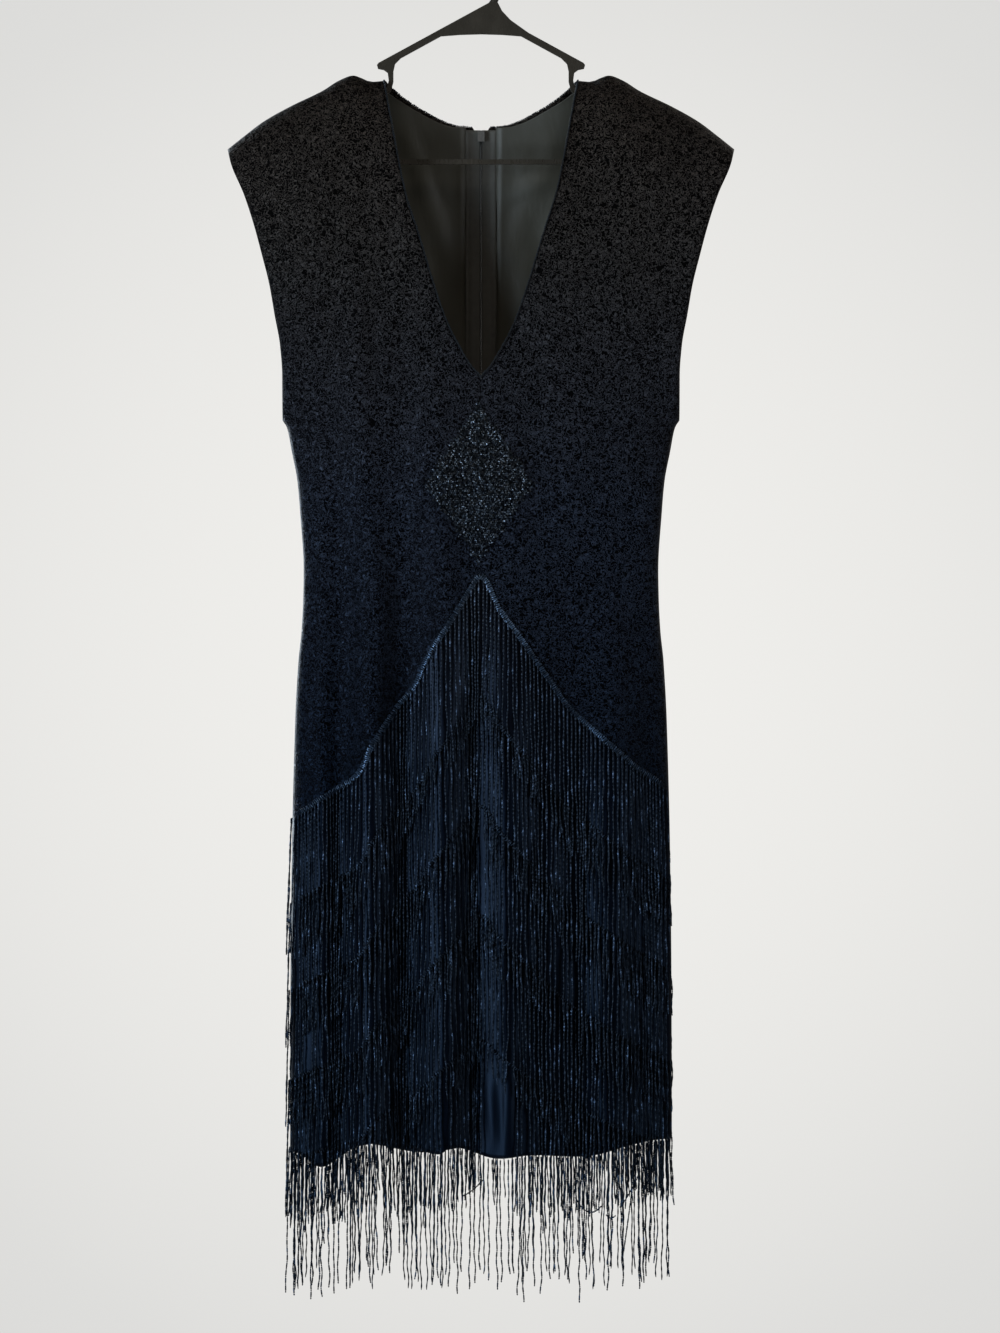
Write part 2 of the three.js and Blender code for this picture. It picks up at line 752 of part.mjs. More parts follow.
addPiece("hanger", geometryOf(hangerSolid()), hangerPlastic);
addPiece("front_panel", wallGeometry([frontLeft, frontRight], -CLOTH, 0, keepFront), beadedCloth);
for (const [name, side, grid] of [["left", 1, backLeft], ["right", -1, backRight]]) {
  const keep = { y: 1, x: side };
  addPiece(`back_panel_${name}`, wallGeometry([grid], -CLOTH, 0, keep), beadedCloth);
  const edge = BACK_YOKE_ROWS.map((row, r) => {
    const inner = grid[0][r];
    const outer = grid[1][r];
    const reach = TAPE_OUTER_X + 2 * SEAM_GAP - Math.abs(inner.point.x);
    return blendPlaces(inner, outer, reach / Math.abs(outer.point.x - inner.point.x));
  });
  const lining = [edge, ...grid.slice(1).map((column) => column.slice(0, BACK_YOKE_ROWS.length))];
  const liningFar = -CLOTH - LINING_GAP;
  addPiece(`back_lining_${name}`, wallGeometry([lining], liningFar - LINING, liningFar, keep), liningCloth);
  const tape = tapeGrid(backColumns, side);
  addPiece(`zip_tape_${name}`, wallGeometry([tape], liningFar - LINING, liningFar, keep), tapeCloth);
}

const coilFar = -CLOTH - LINING_GAP;
addPiece("zip_coil", wallGeometry([coilGrid(backColumns)], coilFar - 1.4, coilFar, keepBack), tapeCloth);
const sliderBackY = panelAt(backColumns, 0, SLIDER_Z).point.y;
addPiece("zip_slider", geometryOf(sliderSolid(sliderBackY)), zipMetal);
addPiece("zip_pull", geometryOf(pullSolid(sliderBackY)), zipMetal);

const trimFar = TRIM_LIFT + TRIM_WALL;
addPiece("diamond_motif", wallGeometry([diamondGrid(frontColumns)], TRIM_LIFT, trimFar, keepFront), paleBeads);
const band = bandGrid(frontColumns, FRINGE_ROWS[0]);
addPiece("chevron_band", wallGeometry([band], TRIM_LIFT, trimFar, keepFront), paleBeads);

FRINGE_ROWS.forEach((row, i) => {
  const onFront = fringeGrid(frontColumns, FRONT_HEM, row);
  const onBack = fringeGrid(backColumns, BACK_HEM, row);
  addPiece(`fringe_front_${i + 1}`, wallGeometry([onFront], 0, 0, keepFront), strandBeads);
  addPiece(`fringe_back_${i + 1}`, wallGeometry([onBack], 0, 0, keepBack), strandBeads);
});
const hemNear = -CLOTH + 0.3;
addPiece("hem_fringe_front", wallGeometry([hemGrid(frontColumns)], hemNear, -0.3, keepFront), strandBeads);
addPiece("hem_fringe_back", wallGeometry([hemGrid(backColumns)], hemNear, -0.3, keepBack), strandBeads);

export default dress;
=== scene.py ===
"""A beaded flapper dress on a plastic clothes hanger, dressed around its CAD frame.

Tables and named sizes are in millimetres, as in part.mjs, and meshes are made in metres.
The front faces -Y, the wearer's left is +X and the hook hangs on the origin.
"""

import json
import math

import bpy
import numpy as np
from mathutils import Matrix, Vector

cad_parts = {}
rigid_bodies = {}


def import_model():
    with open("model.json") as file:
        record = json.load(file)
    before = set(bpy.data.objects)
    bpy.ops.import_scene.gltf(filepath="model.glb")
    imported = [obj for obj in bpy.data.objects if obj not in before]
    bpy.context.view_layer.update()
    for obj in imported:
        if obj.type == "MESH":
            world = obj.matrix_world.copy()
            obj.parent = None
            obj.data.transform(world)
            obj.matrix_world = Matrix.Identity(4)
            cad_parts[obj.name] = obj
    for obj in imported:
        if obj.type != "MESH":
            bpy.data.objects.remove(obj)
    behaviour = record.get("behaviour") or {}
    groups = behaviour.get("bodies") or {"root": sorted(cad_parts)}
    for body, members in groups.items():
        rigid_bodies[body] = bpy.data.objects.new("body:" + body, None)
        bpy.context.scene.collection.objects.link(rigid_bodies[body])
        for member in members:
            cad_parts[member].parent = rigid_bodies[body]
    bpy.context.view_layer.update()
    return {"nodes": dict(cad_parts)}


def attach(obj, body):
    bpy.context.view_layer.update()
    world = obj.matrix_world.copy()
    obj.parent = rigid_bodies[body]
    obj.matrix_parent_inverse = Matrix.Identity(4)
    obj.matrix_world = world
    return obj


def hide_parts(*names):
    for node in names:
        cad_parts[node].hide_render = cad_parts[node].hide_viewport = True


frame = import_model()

MM = 0.001

# ---- Sizes shared with part.mjs ----

CLOTH = 1.5
LINING = 0.8
LINING_OUTER = -2.5
SEAM_GAP = 0.3
UNDERARM_Z = -472.0
UNDERARM_X = 188.0
NECK_POINT_X = 92.0
SHOULDER_TIP_X = 240.0
SHOULDER_ROUND = 70.0
ARMHOLE_OPEN = 26.0
BACK_NECK_DEPTH = 30.0
FOLD_GROWTH = 480.0
STRAIGHT_COLUMNS = 140.0

SIDE_SEAM = [
    (-472, 188), (-478, 184), (-486, 182), (-500, 179.5), (-529, 174), (-557, 171.5),
    (-614, 168), (-642, 168.5), (-671, 170), (-700, 173), (-755, 176), (-870, 179),
    (-1000, 180.5), (-1180, 181),
]
ARMHOLE = [
    (-215, 240), (-231, 236), (-259, 224), (-288, 214.5), (-316, 207), (-344, 200),
    (-373, 195), (-401, 190), (-430, 188), (-472, 188),
]
SHOULDER_SEAM = [
    (92, -150), (104, -151), (113, -147.5), (121, -145), (134, -149.5), (151, -160),
    (180, -174), (205, -188), (225, -203), (240, -215),
]
V_EDGE = [
    (-150, 92), (-226, 78), (-259, 71), (-293, 60), (-349, 43), (-382, 31), (-419, 11),
    (-434, 0), (-472, 0),
]
BACK_NECK = [(0, -193), (20, -192), (33, -188.5), (56, -177), (74, -165.5), (92, -150)]
ZIP_NOTCH = [(-192.5, 8), (-202, 3), (-212, 0), (-472, 0)]
FRONT_DEPTH = [(-150, 27), (-250, 33), (-350, 35), (-472, 34), (-614, 31), (-760, 35), (-1180, 40)]
BACK_DEPTH = [(-150, 30), (-250, 33), (-350, 34), (-472, 34), (-614, 31), (-760, 34), (-1180, 38)]
FRONT_HEM = [
    (-190, -1163), (-176, -1167), (-153, -1178), (-114, -1157), (-88, -1154), (-39, -1165),
    (-28, -1158), (16, -1169), (49, -1166), (94, -1168), (143, -1157), (169, -1153), (190, -1152),
]
BACK_HEM = [
    (-190, -1163), (-122, -1158), (-54, -1167), (18, -1159), (90, -1168), (150, -1156), (190, -1152),
]

# Hanging folds: place, outward push and the height below which each one grows.
FRONT_FOLDS = [
    (-190, 0, -330), (-166, 1, -450), (-152, 4, -430), (-135, -8, -330), (-104, 11, -290),
    (-73, -10, -290), (-34, 9, -330), (-7.5, -7, -470), (25.5, 7, -430), (58, -1, -450),
    (91, -8, -480), (127, 7, -480), (160, -2, -520), (190, 0, -520),
]
BACK_FOLDS = [
    (-190, 0, -450), (-152, 5, -430), (-122, -3, -430), (-90, 9, -360), (-54, -7, -380),
    (-18, 5, -560), (18, -3, -560), (54, 8, -420), (90, -8, -440), (122, 8, -440),
    (152, -3, -500), (190, 0, -500),
]

# Soft creases: start, end, push at the middle and half width.
FRONT_CREASES = [
    ((-169, -640), (-146, -770), -2.6, 7), ((-160, -575), (-128, -690), 1.6, 9),
    ((-186, -470), (-140, -560), -1.8, 9), ((-120, -300), (-104, -470), 2.0, 11),
    ((-80, -330), (-62, -520), -1.8, 11), ((178, -480), (128, -585), -1.9, 10),
    ((150, -300), (112, -430), 1.3, 16), ((62, -420), (40, -560), -1.2, 12),
    ((168, -650), (140, -800), 1.6, 8), ((-200, -250), (-150, -330), -1.2, 13),
    ((205, -260), (160, -350), -1.2, 14), ((4, -1080), (14, -1165), 2.4, 5),
    ((30, -1070), (25, -1165), 2.2, 4.5), ((17, -1090), (20, -1165), -1.8, 4),
    ((-155, -1110), (-152, -1175), 1.8, 6), ((-101, -345), (-93, -610), -5.0, 13),
    ((-126, -340), (-118, -610), 2.6, 12), ((-64, -380), (-58, -620), 2.4, 12),
    ((-26, -470), (-22, -640), -3.0, 11),
]
BACK_CREASES = [
    ((40, -250), (66, -420), 1.6, 13), ((-44, -240), (-70, -400), -1.6, 13),
    ((150, -470), (104, -580), -2.0, 10), ((-150, -480), (-110, -600), 1.9, 10),
    ((120, -640), (86, -780), 1.7, 9), ((-132, -660), (-100, -760), -1.9, 8),
    ((22, -620), (34, -790), -1.4, 9), ((-24, -640), (-34, -800), 1.4, 9),
    ((180, -300), (140, -410), -1.2, 14), ((-186, -290), (-150, -400), 1.2, 14),
]
LINING_CREASES = [
    ((-77, -172), (-26, -335), -3.2, 9), ((-60, -205), (-14, -300), 1.6, 10),
    ((14, -262), (70, -240), -2.0, 8), ((70, -200), (22, -330), -1.8, 12),
    ((110, -240), (90, -430), -1.6, 15), ((-120, -260), (-90, -440), -1.6, 14),
]

# Fringe rows: height of the point at the centre, fall to the wearer's left side seam, strand length.
# FRINGE_CURVE is the share of that fall at each x; part.mjs says how it was read.
FRINGE_ROWS = [(-620, 205, 136), (-734, 175, 136), (-837, 156, 136), (-940, 140, 138), (-1058, 102, 140)]
FRINGE_CURVE = [
    (-184, 1.12), (-176, 1.1), (-161, 1.06), (-150, 1.02), (-140, 0.99), (-129, 0.96), (-117, 0.92),
    (-109, 0.86), (-104, 0.79), (-78, 0.59), (-72, 0.56), (-61, 0.5), (-55, 0.43), (-45, 0.33),
    (-34, 0.25), (-28, 0.2), (-13, 0.08), (0, 0), (19, 0.161), (38, 0.288), (59, 0.439),
    (85, 0.615), (101, 0.683), (129, 0.805), (146, 0.878), (163, 0.932), (184, 1),
]
FRINGE_LIFT = 0.7
FRINGE_FLARE = 4.2
HEM_STRANDS = 138
# How far the shorter strands reach below the hem, from the wearer's right to the left.
SHORT_STRANDS = [(-190, 73), (-90, 66), (0, 61), (110, 60), (190, 48)]
# Loose strands that cross their neighbours below the hem: ends and sag.
TANGLES = [
    ((89, -1206), (114, -1214), 10), ((131, -1216), (152, -1178), 3), ((118, -1222), (131, -1216), 6),
    ((-18, -1205), (6, -1184), 3), ((143, -1196), (133, -1268), 2),
]
STRAND_PITCH = 3.95
# Bugle beads of a header: length, pitch, sides, tone of the dull ones, least tone of the bright ones.
LOWER_HEADER = (3.6, 2.3, 4, 0.86, 0.80)
CHEVRON_HEADER = (5.4, 1.9, 6, 0.48, 0.55)
# Stretches of a fringe line where the header's beads are bright.
# The beads in these stretches get a brighter tone: a painted highlight where the folds catch the light.
PAINTED_HIGHLIGHT_STRETCHES = [(-128, -103), (-64, -38), (3, 42), (103, 117)]
STRAND_REACH = 187.5
HEADER_REACH = 170.0

DIAMOND_X, DIAMOND_Z, DIAMOND_HALF_WIDTH, DIAMOND_HALF_HEIGHT = -2.0, -532.0, 52.0, 77.0
BEAD_PITCH = 2.05

ZIP_TOP_Z, ZIP_BOTTOM_Z, COIL_TOP_Z = -195.0, -598.0, -206.4
TAPE_INNER_X, TAPE_OUTER_X = 1.3, 13.9
# The bend of one coil tooth from its tape over the centre: across and in depth.
TOOTH = [(1.25, -0.25), (0.9, -1.2), (-0.35, -1.25), (-0.55, -0.6)]

# ---- Camera: square on to the front, at the photograph's framing ----

FRAME_HEIGHT = 1.26
CAMERA_DISTANCE = 8.0
FRAME_CENTRE_X, FRAME_CENTRE_Z = 0.018, -0.705


def add_camera():
    data = bpy.data.cameras.new("camera")
    data.sensor_width = 36
    data.lens = 36 * CAMERA_DISTANCE / FRAME_HEIGHT
    camera = bpy.data.objects.new("camera", data)
    camera.location = (FRAME_CENTRE_X, -CAMERA_DISTANCE - 0.02, FRAME_CENTRE_Z)
    camera.rotation_euler = (math.radians(90), 0, 0)
    bpy.context.collection.objects.link(camera)
    bpy.context.scene.camera = camera


# ---- Curves and tables ----


def curve(table, at):
    """A smooth curve through a table's points that never overshoots them."""
    keys = np.array([row[0] for row in table], float)
    values = np.array([row[1] for row in table], float)
    if keys[0] > keys[-1]:
        keys, values = keys[::-1], values[::-1]
    step, rise = np.diff(keys), np.diff(values)
    slope = rise / step
    tangent = np.empty_like(values)
    tangent[0], tangent[-1] = slope[0], slope[-1]
    product = slope[:-1] * slope[1:]
    weight = (step[1:] - step[:-1]) / (3 * (step[1:] + step[:-1]))
    low, high = 0.5 + weight, 0.5 - weight
    bottom = np.where(product > 0, low * slope[:-1] + high * slope[1:], 1)
    blend = np.where(product > 0, product / np.where(bottom == 0, 1, bottom), 0)
    tangent[1:-1] = blend
    at = np.clip(np.asarray(at, float), keys[0], keys[-1])
    i = np.clip(np.searchsorted(keys, at) - 1, 0, len(step) - 1)
    t = (at - keys[i]) / step[i]
    return (
        values[i] * (2 * t**3 - 3 * t**2 + 1)
        + step[i] * tangent[i] * (t**3 - 2 * t**2 + t)
        + values[i + 1] * (3 * t**2 - 2 * t**3)
        + step[i] * tangent[i + 1] * (t**3 - t**2)
    )


def ease(part):
    held = np.clip(part, 0, 1)
    return held * held * (3 - 2 * held)


def fold_push(folds, x, z):
    """Outward push of the folds, eased between neighbouring rows of the table."""
    keys = np.array([f[0] for f in folds], float)
    push = np.array([f[1] for f in folds], float)
    start = np.array([f[2] for f in folds], float)
    i = np.clip(np.searchsorted(keys, x) - 1, 0, len(folds) - 2)
    share = ease((x - keys[i]) / (keys[i + 1] - keys[i]))
    left = push[i] * ease((start[i] - z) / FOLD_GROWTH)
    right = push[i + 1] * ease((start[i + 1] - z) / FOLD_GROWTH)
    return left + (right - left) * share


def crease_push(creases, x, z):
    total = np.zeros(np.broadcast(x, z).shape)
    for (x0, z0), (x1, z1), push, width in creases:
        length2 = (x1 - x0) ** 2 + (z1 - z0) ** 2
        along = np.clip(((x - x0) * (x1 - x0) + (z - z0) * (z1 - z0)) / length2, 0, 1)
        away2 = (x - x0 - along * (x1 - x0)) ** 2 + (z - z0 - along * (z1 - z0)) ** 2
        total += push * np.sin(np.pi * (0.08 + 0.84 * along)) * np.exp(-away2 / width**2)
    return total


class Ripple:
    """Smooth seeded unevenness: many slight waves of about one length."""

    def __init__(self, seed, wavelength, stretch, count=26):
        rng = np.random.default_rng(seed)
        angle = rng.uniform(0, 2 * np.pi, count)
        number = 2 * np.pi / (wavelength * rng.uniform(0.7, 1.5, count))
        self.kx, self.kz = number * np.cos(angle), number * np.sin(angle) / stretch
        self.phase = rng.uniform(0, 2 * np.pi, count)
        self.scale = math.sqrt(2 / count)

    def __call__(self, x, z):
        total = np.zeros(np.broadcast(x, z).shape)
        for kx, kz, phase in zip(self.kx, self.kz, self.phase):
            total += np.sin(kx * x + kz * z + phase)
        return total * self.scale


def cross_share(part):
    return np.maximum(1 - np.clip(part, 0, 1) ** 2.2, 0) ** 0.6


class Half:
    """The front or the back of the dress as a surface over the columns and rows of a grid."""

    def __init__(self, facing, depth, folds, creases, hem, seed):
        self.facing, self.depth, self.folds, self.creases, self.hem = facing, depth, folds, creases, hem
        self.broad = Ripple(seed, 75, 1.9)
        self.fine = Ripple(seed + 1, 26, 2.4)
        self.skirt = Ripple(seed + 2, 17, 9)

    def top_z(self, x):
        if self.facing < 0:
            return curve(SHOULDER_SEAM, x)
        return np.where(x < NECK_POINT_X, curve(BACK_NECK, x), curve(SHOULDER_SEAM, x))

    def inner_x(self, z):
        return curve(V_EDGE if self.facing < 0 else ZIP_NOTCH, z)

    def top_depth(self, x):
        if self.facing < 0:
            return np.zeros_like(x)
        return BACK_NECK_DEPTH * (1 - np.minimum(x / NECK_POINT_X, 1) ** 2) ** 0.45

    def detail(self, x, z):
        """Creases and unevenness, the same for the cloth and for what lies on it."""
        low = ease((-600 - z) / 500)
        return (
            crease_push(self.creases, x, z)
            + 0.75 * self.broad(x, z)
            + 0.28 * self.fine(x, z)
            + 0.42 * low * self.skirt(x, z)
        )

    def yoke(self, side, column, row):
        inner = NECK_POINT_X if self.facing < 0 else 8.0
        share = column / UNDERARM_X
        top_x = inner + (SHOULDER_TIP_X - inner) * share
        top_z = self.top_z(top_x)
        z = top_z + (UNDERARM_Z - top_z) * row
        inner_top = float(self.top_z(np.array(inner)))
        inner_x = self.inner_x(inner_top + (UNDERARM_Z - inner_top) * row)
        tip = float(self.top_z(np.array(SHOULDER_TIP_X)))
        outer_x = curve(ARMHOLE, tip + (UNDERARM_Z - tip) * row)
        x = inner_x + (outer_x - inner_x) * share
        cross = cross_share(share)
        edge = ARMHOLE_OPEN * np.sqrt(np.maximum(1 - row**3, 0))
        full = curve(self.depth, z) * cross + edge * (1 - cross)
        start = self.top_depth(top_x)
        power = 1 - 0.5 * np.minimum(top_x / NECK_POINT_X, 1) ** 4
        left = 1 - np.clip((top_z - z) / SHOULDER_ROUND, 0, 1)
        depth = start + (full - start) * np.maximum(1 - left * left, 0) ** power
        held = (1 - share**8) * ease((top_z - z) / 45)
        push = fold_push(self.folds, side * x, z) * (1 - share**8)
        return side * x, depth + push + self.detail(side * x, z) * held, z

    def skirt_depth(self, x, z):
        """Depth of the outer surface below the underarm. Below the hem it stays as at the hem."""
        z = np.maximum(z, curve(self.hem, x) + 0.5)
        part = np.minimum(np.abs(x) / curve(SIDE_SEAM, z), 1)
        free = 1 - part**8
        return curve(self.depth, z) * cross_share(part) + (fold_push(self.folds, x, z) + self.detail(x, z)) * free

    def skirt_x(self, column, z):
        side_x = curve(SIDE_SEAM, z)
        outer = np.maximum(np.abs(column) - STRAIGHT_COLUMNS, 0) / (UNDERARM_X - STRAIGHT_COLUMNS)
        return np.sign(column) * (np.minimum(np.abs(column), STRAIGHT_COLUMNS) + (side_x - STRAIGHT_COLUMNS) * outer)

    def lower(self, side, column, row):
        z = UNDERARM_Z + (curve(self.hem, side * column) - UNDERARM_Z) * (row - 1)
        x = self.skirt_x(side * column, z)
        return x, self.skirt_depth(x, z), z

    def out(self, x, z):
        """Level outward direction of the skirt, as its x and y."""
        slope = (self.skirt_depth(x + 1.5, z) - self.skirt_depth(x - 1.5, z)) / 3
        slope = np.clip(slope, -1.6, 1.6)
        length = np.sqrt(1 + slope * slope)
        return -slope / length, self.facing / length

    def on(self, x, z, lift):
        """A point lift off the skirt's surface."""
        out_x, out_y = self.out(x, z)
        return np.stack([x + out_x * lift, self.facing * self.skirt_depth(x, z) + out_y * lift, z], -1)


FRONT = Half(-1, FRONT_DEPTH, FRONT_FOLDS, FRONT_CREASES, FRONT_HEM, 11)
BACK = Half(1, BACK_DEPTH, BACK_FOLDS, BACK_CREASES, BACK_HEM, 37)


def fringe_line(row, x):
    return row[0] - row[1] * curve(FRINGE_CURVE, x)


# ---- Meshes from arrays ----


def new_piece(name, points, faces, material, slot, body="dress", smooth=True, tones=None):
    """A mesh object from points in millimetres and faces of one length, riding on a body."""
    points = np.asarray(points, np.float64) * MM
    faces = np.asarray(faces, np.int32)
    mesh = bpy.data.meshes.new(name)
    mesh.vertices.add(len(points))
    mesh.vertices.foreach_set("co", points.ravel())
    mesh.loops.add(faces.size)
    mesh.loops.foreach_set("vertex_index", faces.ravel())
    mesh.polygons.add(len(faces))
    mesh.polygons.foreach_set("loop_start", np.arange(0, faces.size, faces.shape[1], dtype=np.int32))
    mesh.polygons.foreach_set("use_smooth", np.full(len(faces), smooth))
    mesh.update(calc_edges=True)
    for key, values in (tones or {}).items():
        mesh.attributes.new(key, "FLOAT", "POINT").data.foreach_set("value", np.asarray(values, np.float32))
    mesh.materials.append(material)
    piece = bpy.data.objects.new(name, mesh)
    bpy.context.collection.objects.link(piece)
    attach(piece, body)
    return piece


class Parts:
    """Collects many small shapes into one mesh, each with a tone of its own."""

    def __init__(self):
        self.points, self.faces, self.tones, self.count = [], [], [], 0

    def add(self, points, faces, tone):
        self.points.append(points)
        self.faces.append(faces + self.count)
        self.tones.append(np.broadcast_to(tone, len(points)))
        self.count += len(points)

    def piece(self, name, material, slot, **options):
        return new_piece(
            name, np.concatenate(self.points), np.concatenate(self.faces), material, slot,
            tones={"tone": np.concatenate(self.tones)}, **options,
        )


def grid_faces(columns, rows, start=0):
    c, r = np.meshgrid(np.arange(columns - 1), np.arange(rows - 1), indexing="ij")
    a = start + c * rows + r
    return np.stack([a, a + rows, a + rows + 1, a + 1], -1).reshape(-1, 4)


def shell(grids, outer, inner, facing, keep_x=0, level_from=None):
    """A closed thin wall between two offsets of one or more grids of points in millimetres."""
    points = np.concatenate([g.reshape(-1, 3) for g in grids])
    faces, start = [], 0
    for g in grids:
        own = grid_faces(g.shape[0], g.shape[1], start)
        middle = own[len(own) // 2]
        a, b, d = (points[middle[i]] for i in (0, 1, 3))
        if np.cross(b - a, d - a)[1] * facing < 0:
            own = own[:, ::-1]
        faces.append(own)
        start += g.shape[0] * g.shape[1]
    faces = np.concatenate(faces)
    _, first, same = np.unique(np.round(points, 3), axis=0, return_index=True, return_inverse=True)
    points, faces = points[first], same.reshape(-1)[faces]
    normals = np.zeros_like(points)
    for i in range(4):
        a, b, c = points[faces[:, i]], points[faces[:, (i + 1) % 4]], points[faces[:, i - 1]]
        np.add.at(normals, faces[:, i], np.cross(b - a, c - a))
    if level_from is not None:
        normals[points[:, 2] < level_from, 2] = 0
    normals /= np.maximum(np.linalg.norm(normals, axis=1, keepdims=True), 1e-9)

    def moved(distance):
        place = points + normals * distance
        place[:, 1] = facing * np.maximum(facing * place[:, 1], SEAM_GAP / 2)
        if keep_x:
            place[:, 0] = keep_x * np.maximum(keep_x * place[:, 0], SEAM_GAP / 2)
        return place

    count = len(points)
    edges = np.concatenate([faces[:, [i, (i + 1) % 4]] for i in range(4)])
    key = edges[:, 0].astype(np.int64) * count + edges[:, 1]
    back = edges[:, 1].astype(np.int64) * count + edges[:, 0]
    rim = edges[~np.isin(key, back)]
    walls = np.stack([rim[:, 0], rim[:, 0] + count, rim[:, 1] + count, rim[:, 1]], -1)
    return np.concatenate([moved(outer), moved(inner)]), np.concatenate([faces, faces[:, ::-1] + count, walls])


def cloth_grid(half, side, columns, rows):
    """Points of one half panel, with its columns as the first axis."""
    column = columns[:, None] + 0 * rows[None, :]
    row = rows[None, :] + 0 * columns[:, None]
    yoke = np.stack(half.yoke(side, column, np.minimum(row, 1)), -1)
    lower = np.stack(half.lower(side, column, np.maximum(row, 1)), -1)
    grid = np.where(row[..., None] <= 1, yoke, lower)
    depth = grid[..., 1]
    soft = depth.copy()
    for _ in range(14):
        soft[:, 1:-1] = (soft[:, :-2] + 2 * soft[:, 1:-1] + soft[:, 2:]) / 4
    near = np.exp(-(((row - 1) / 0.09) ** 2)) * (column < UNDERARM_X - 0.01)
    grid[..., 1] = half.facing * (depth + (soft - depth) * near)
    return grid


def cloth_rows(yoke_count, skirt_count, extra=()):
    yoke = np.linspace(0, 1, yoke_count) ** 1.5
    skirt = np.linspace(1, 2, skirt_count)[1:]
    return np.unique(np.concatenate([yoke, np.array(extra, float), skirt]))


def cloth_columns(count):
    part = np.linspace(0, 1, count)
    return UNDERARM_X * (0.72 * part + 0.28 * np.sin(part * np.pi / 2) ** 0.9)


def tube(path, radii, sides, outward):
    """A closed tube with square ends: rings of sides points along a path."""
    along = np.gradient(path, axis=0)
    along /= np.maximum(np.linalg.norm(along, axis=1, keepdims=True), 1e-9)
    across = np.cross(along, outward)
    across /= np.maximum(np.linalg.norm(across, axis=1, keepdims=True), 1e-9)
    over = np.cross(across, along)
    turn = np.arange(sides) * 2 * np.pi / sides + np.pi / sides
    ring = np.cos(turn)[None, :, None] * across[:, None] + np.sin(turn)[None, :, None] * over[:, None]
    points = (path[:, None] + ring * np.asarray(radii)[:, None, None]).reshape(-1, 3)
    r, s = np.meshgrid(np.arange(len(path) - 1), np.arange(sides), indexing="ij")
    a, b = r * sides + s, r * sides + (s + 1) % sides
    faces = np.stack([a, b, b + sides, a + sides], -1).reshape(-1, 4)
    last = (len(path) - 1) * sides
    if sides == 4:
        caps = np.array([[3, 2, 1, 0], [last, last + 1, last + 2, last + 3]])
    else:
        near, far = [[3, 2, 1, 0], [5, 4, 3, 0]], [[0, 1, 2, 3], [0, 3, 4, 5]]
        caps = np.concatenate([np.array(near), np.array(far) + last])
    return points, np.concatenate([faces, caps])


# ---- Strands ----

UNIT = 7.2
BUGLE_AND_SEED = [(0.0, 0.4), (0.55, 0.97), (4.75, 0.97), (5.2, 0.42), (6.2, 0.98)]
PLAIN_UNIT = [(0.0, 0.62), (3.6, 0.97)]


def strand_places(half, column, top, length, drift, phase):
    """The path of a hanging strand as a function of the distance down it."""

    def place(s):
        z = top - s
        hem = curve(half.hem, half.skirt_x(column, top))
        x = half.skirt_x(column, np.maximum(z, hem)) + drift(s)
        part = np.clip(s / length, 0, 1)
        x = x + (0.15 + 0.3 * part) * np.sin(s / 5.3 + phase) + 0.55 * part * np.sin(s / 17 + 2.1 * phase)
        lift = FRINGE_LIFT + 0.95 + FRINGE_FLARE * part + 0.3 * part * np.sin(s / 11 + 3.3 * phase)
        return half.on(x, z, lift)

    return place


def add_strand(parts, place, length, unit, sides, facing, rng):
    count = max(int(length / UNIT), 1)
    s = (np.arange(count)[:, None] * UNIT + np.array([u[0] for u in unit])[None, :]).ravel()
    s = np.append(s, count * UNIT)
    radii = np.append(np.tile([u[1] for u in unit], count), 0.4)
    radii = radii * (1 + 0.06 * rng.standard_normal(len(radii)))
    tone = np.append(np.repeat(rng.random(count), len(unit)), 0.5)
    points, faces = tube(place(s), radii, sides, np.array([0.0, facing, 0.0]))
    parts.add(points, faces, np.repeat(tone, sides))


def clumps(rng):
    """Places where neighbouring strands lean together, with how far and how wide."""
    centres = np.arange(-175, 176, 21.0) + rng.uniform(-7, 7, 17)
    return list(zip(centres, rng.uniform(0.0, 0.42, 17), rng.uniform(6, 13, 17)))


def clump_drift(column, groups, length):
    pull = sum((c - column) * k * math.exp(-(((column - c) / w) ** 2)) for c, k, w in groups)
    return lambda s: pull * np.clip(s / length, 0, 1) ** 1.7


def strand_columns(rng):
    columns = np.arange(-STRAND_REACH, STRAND_REACH + 0.1, STRAND_PITCH)
    return columns + rng.uniform(-0.55, 0.55, len(columns))


def add_fringe_row(parts, half, row, last, rng, unit, sides):
    groups = clumps(rng)
    for column in strand_columns(rng):
        phase, chance, cut = rng.uniform(0, 6.28), rng.random(), rng.uniform(-4, 3)
        # The lowest row is thin near the middle, where the smooth cloth shows through.
        bare = last and (5 < column < 42 or -160 < column < -148)
        if chance < 0.03 or (bare and chance < 0.8):
            continue
        top = float(fringe_line(row, half.skirt_x(column, -900.0)))
        hem = float(curve(half.hem, column))
        top = max(top, hem + 4) - 1.5
        length = row[2] + cut
        if last and chance < 0.72:
            length = min(length, top - hem + float(curve(SHORT_STRANDS, column)) * rng.uniform(0.8, 1.06))
        place = strand_places(half, column, top, length, clump_drift(column, groups, length), phase)
        add_strand(parts, place, length, unit, sides, half.facing, rng)


def hem_place(half, column, length, drift, phase, lift):
    def place(s):
        hem = float(curve(half.hem, column))
        x0 = float(half.skirt_x(column, hem))
        part = np.clip(s / length, 0, 1)
        x = x0 + drift(s) + (0.2 + 0.35 * part) * np.sin(s / 4.1 + phase) + 0.9 * part * np.sin(s / 19 + 1.7 * phase)
        base = half.on(np.full_like(s, x0), np.full_like(s, hem), lift)
        return np.stack([base[:, 0] + x - x0, base[:, 1] + 0.5 * part * np.sin(s / 13 + phase), hem - 1.2 - s], -1)

    return place


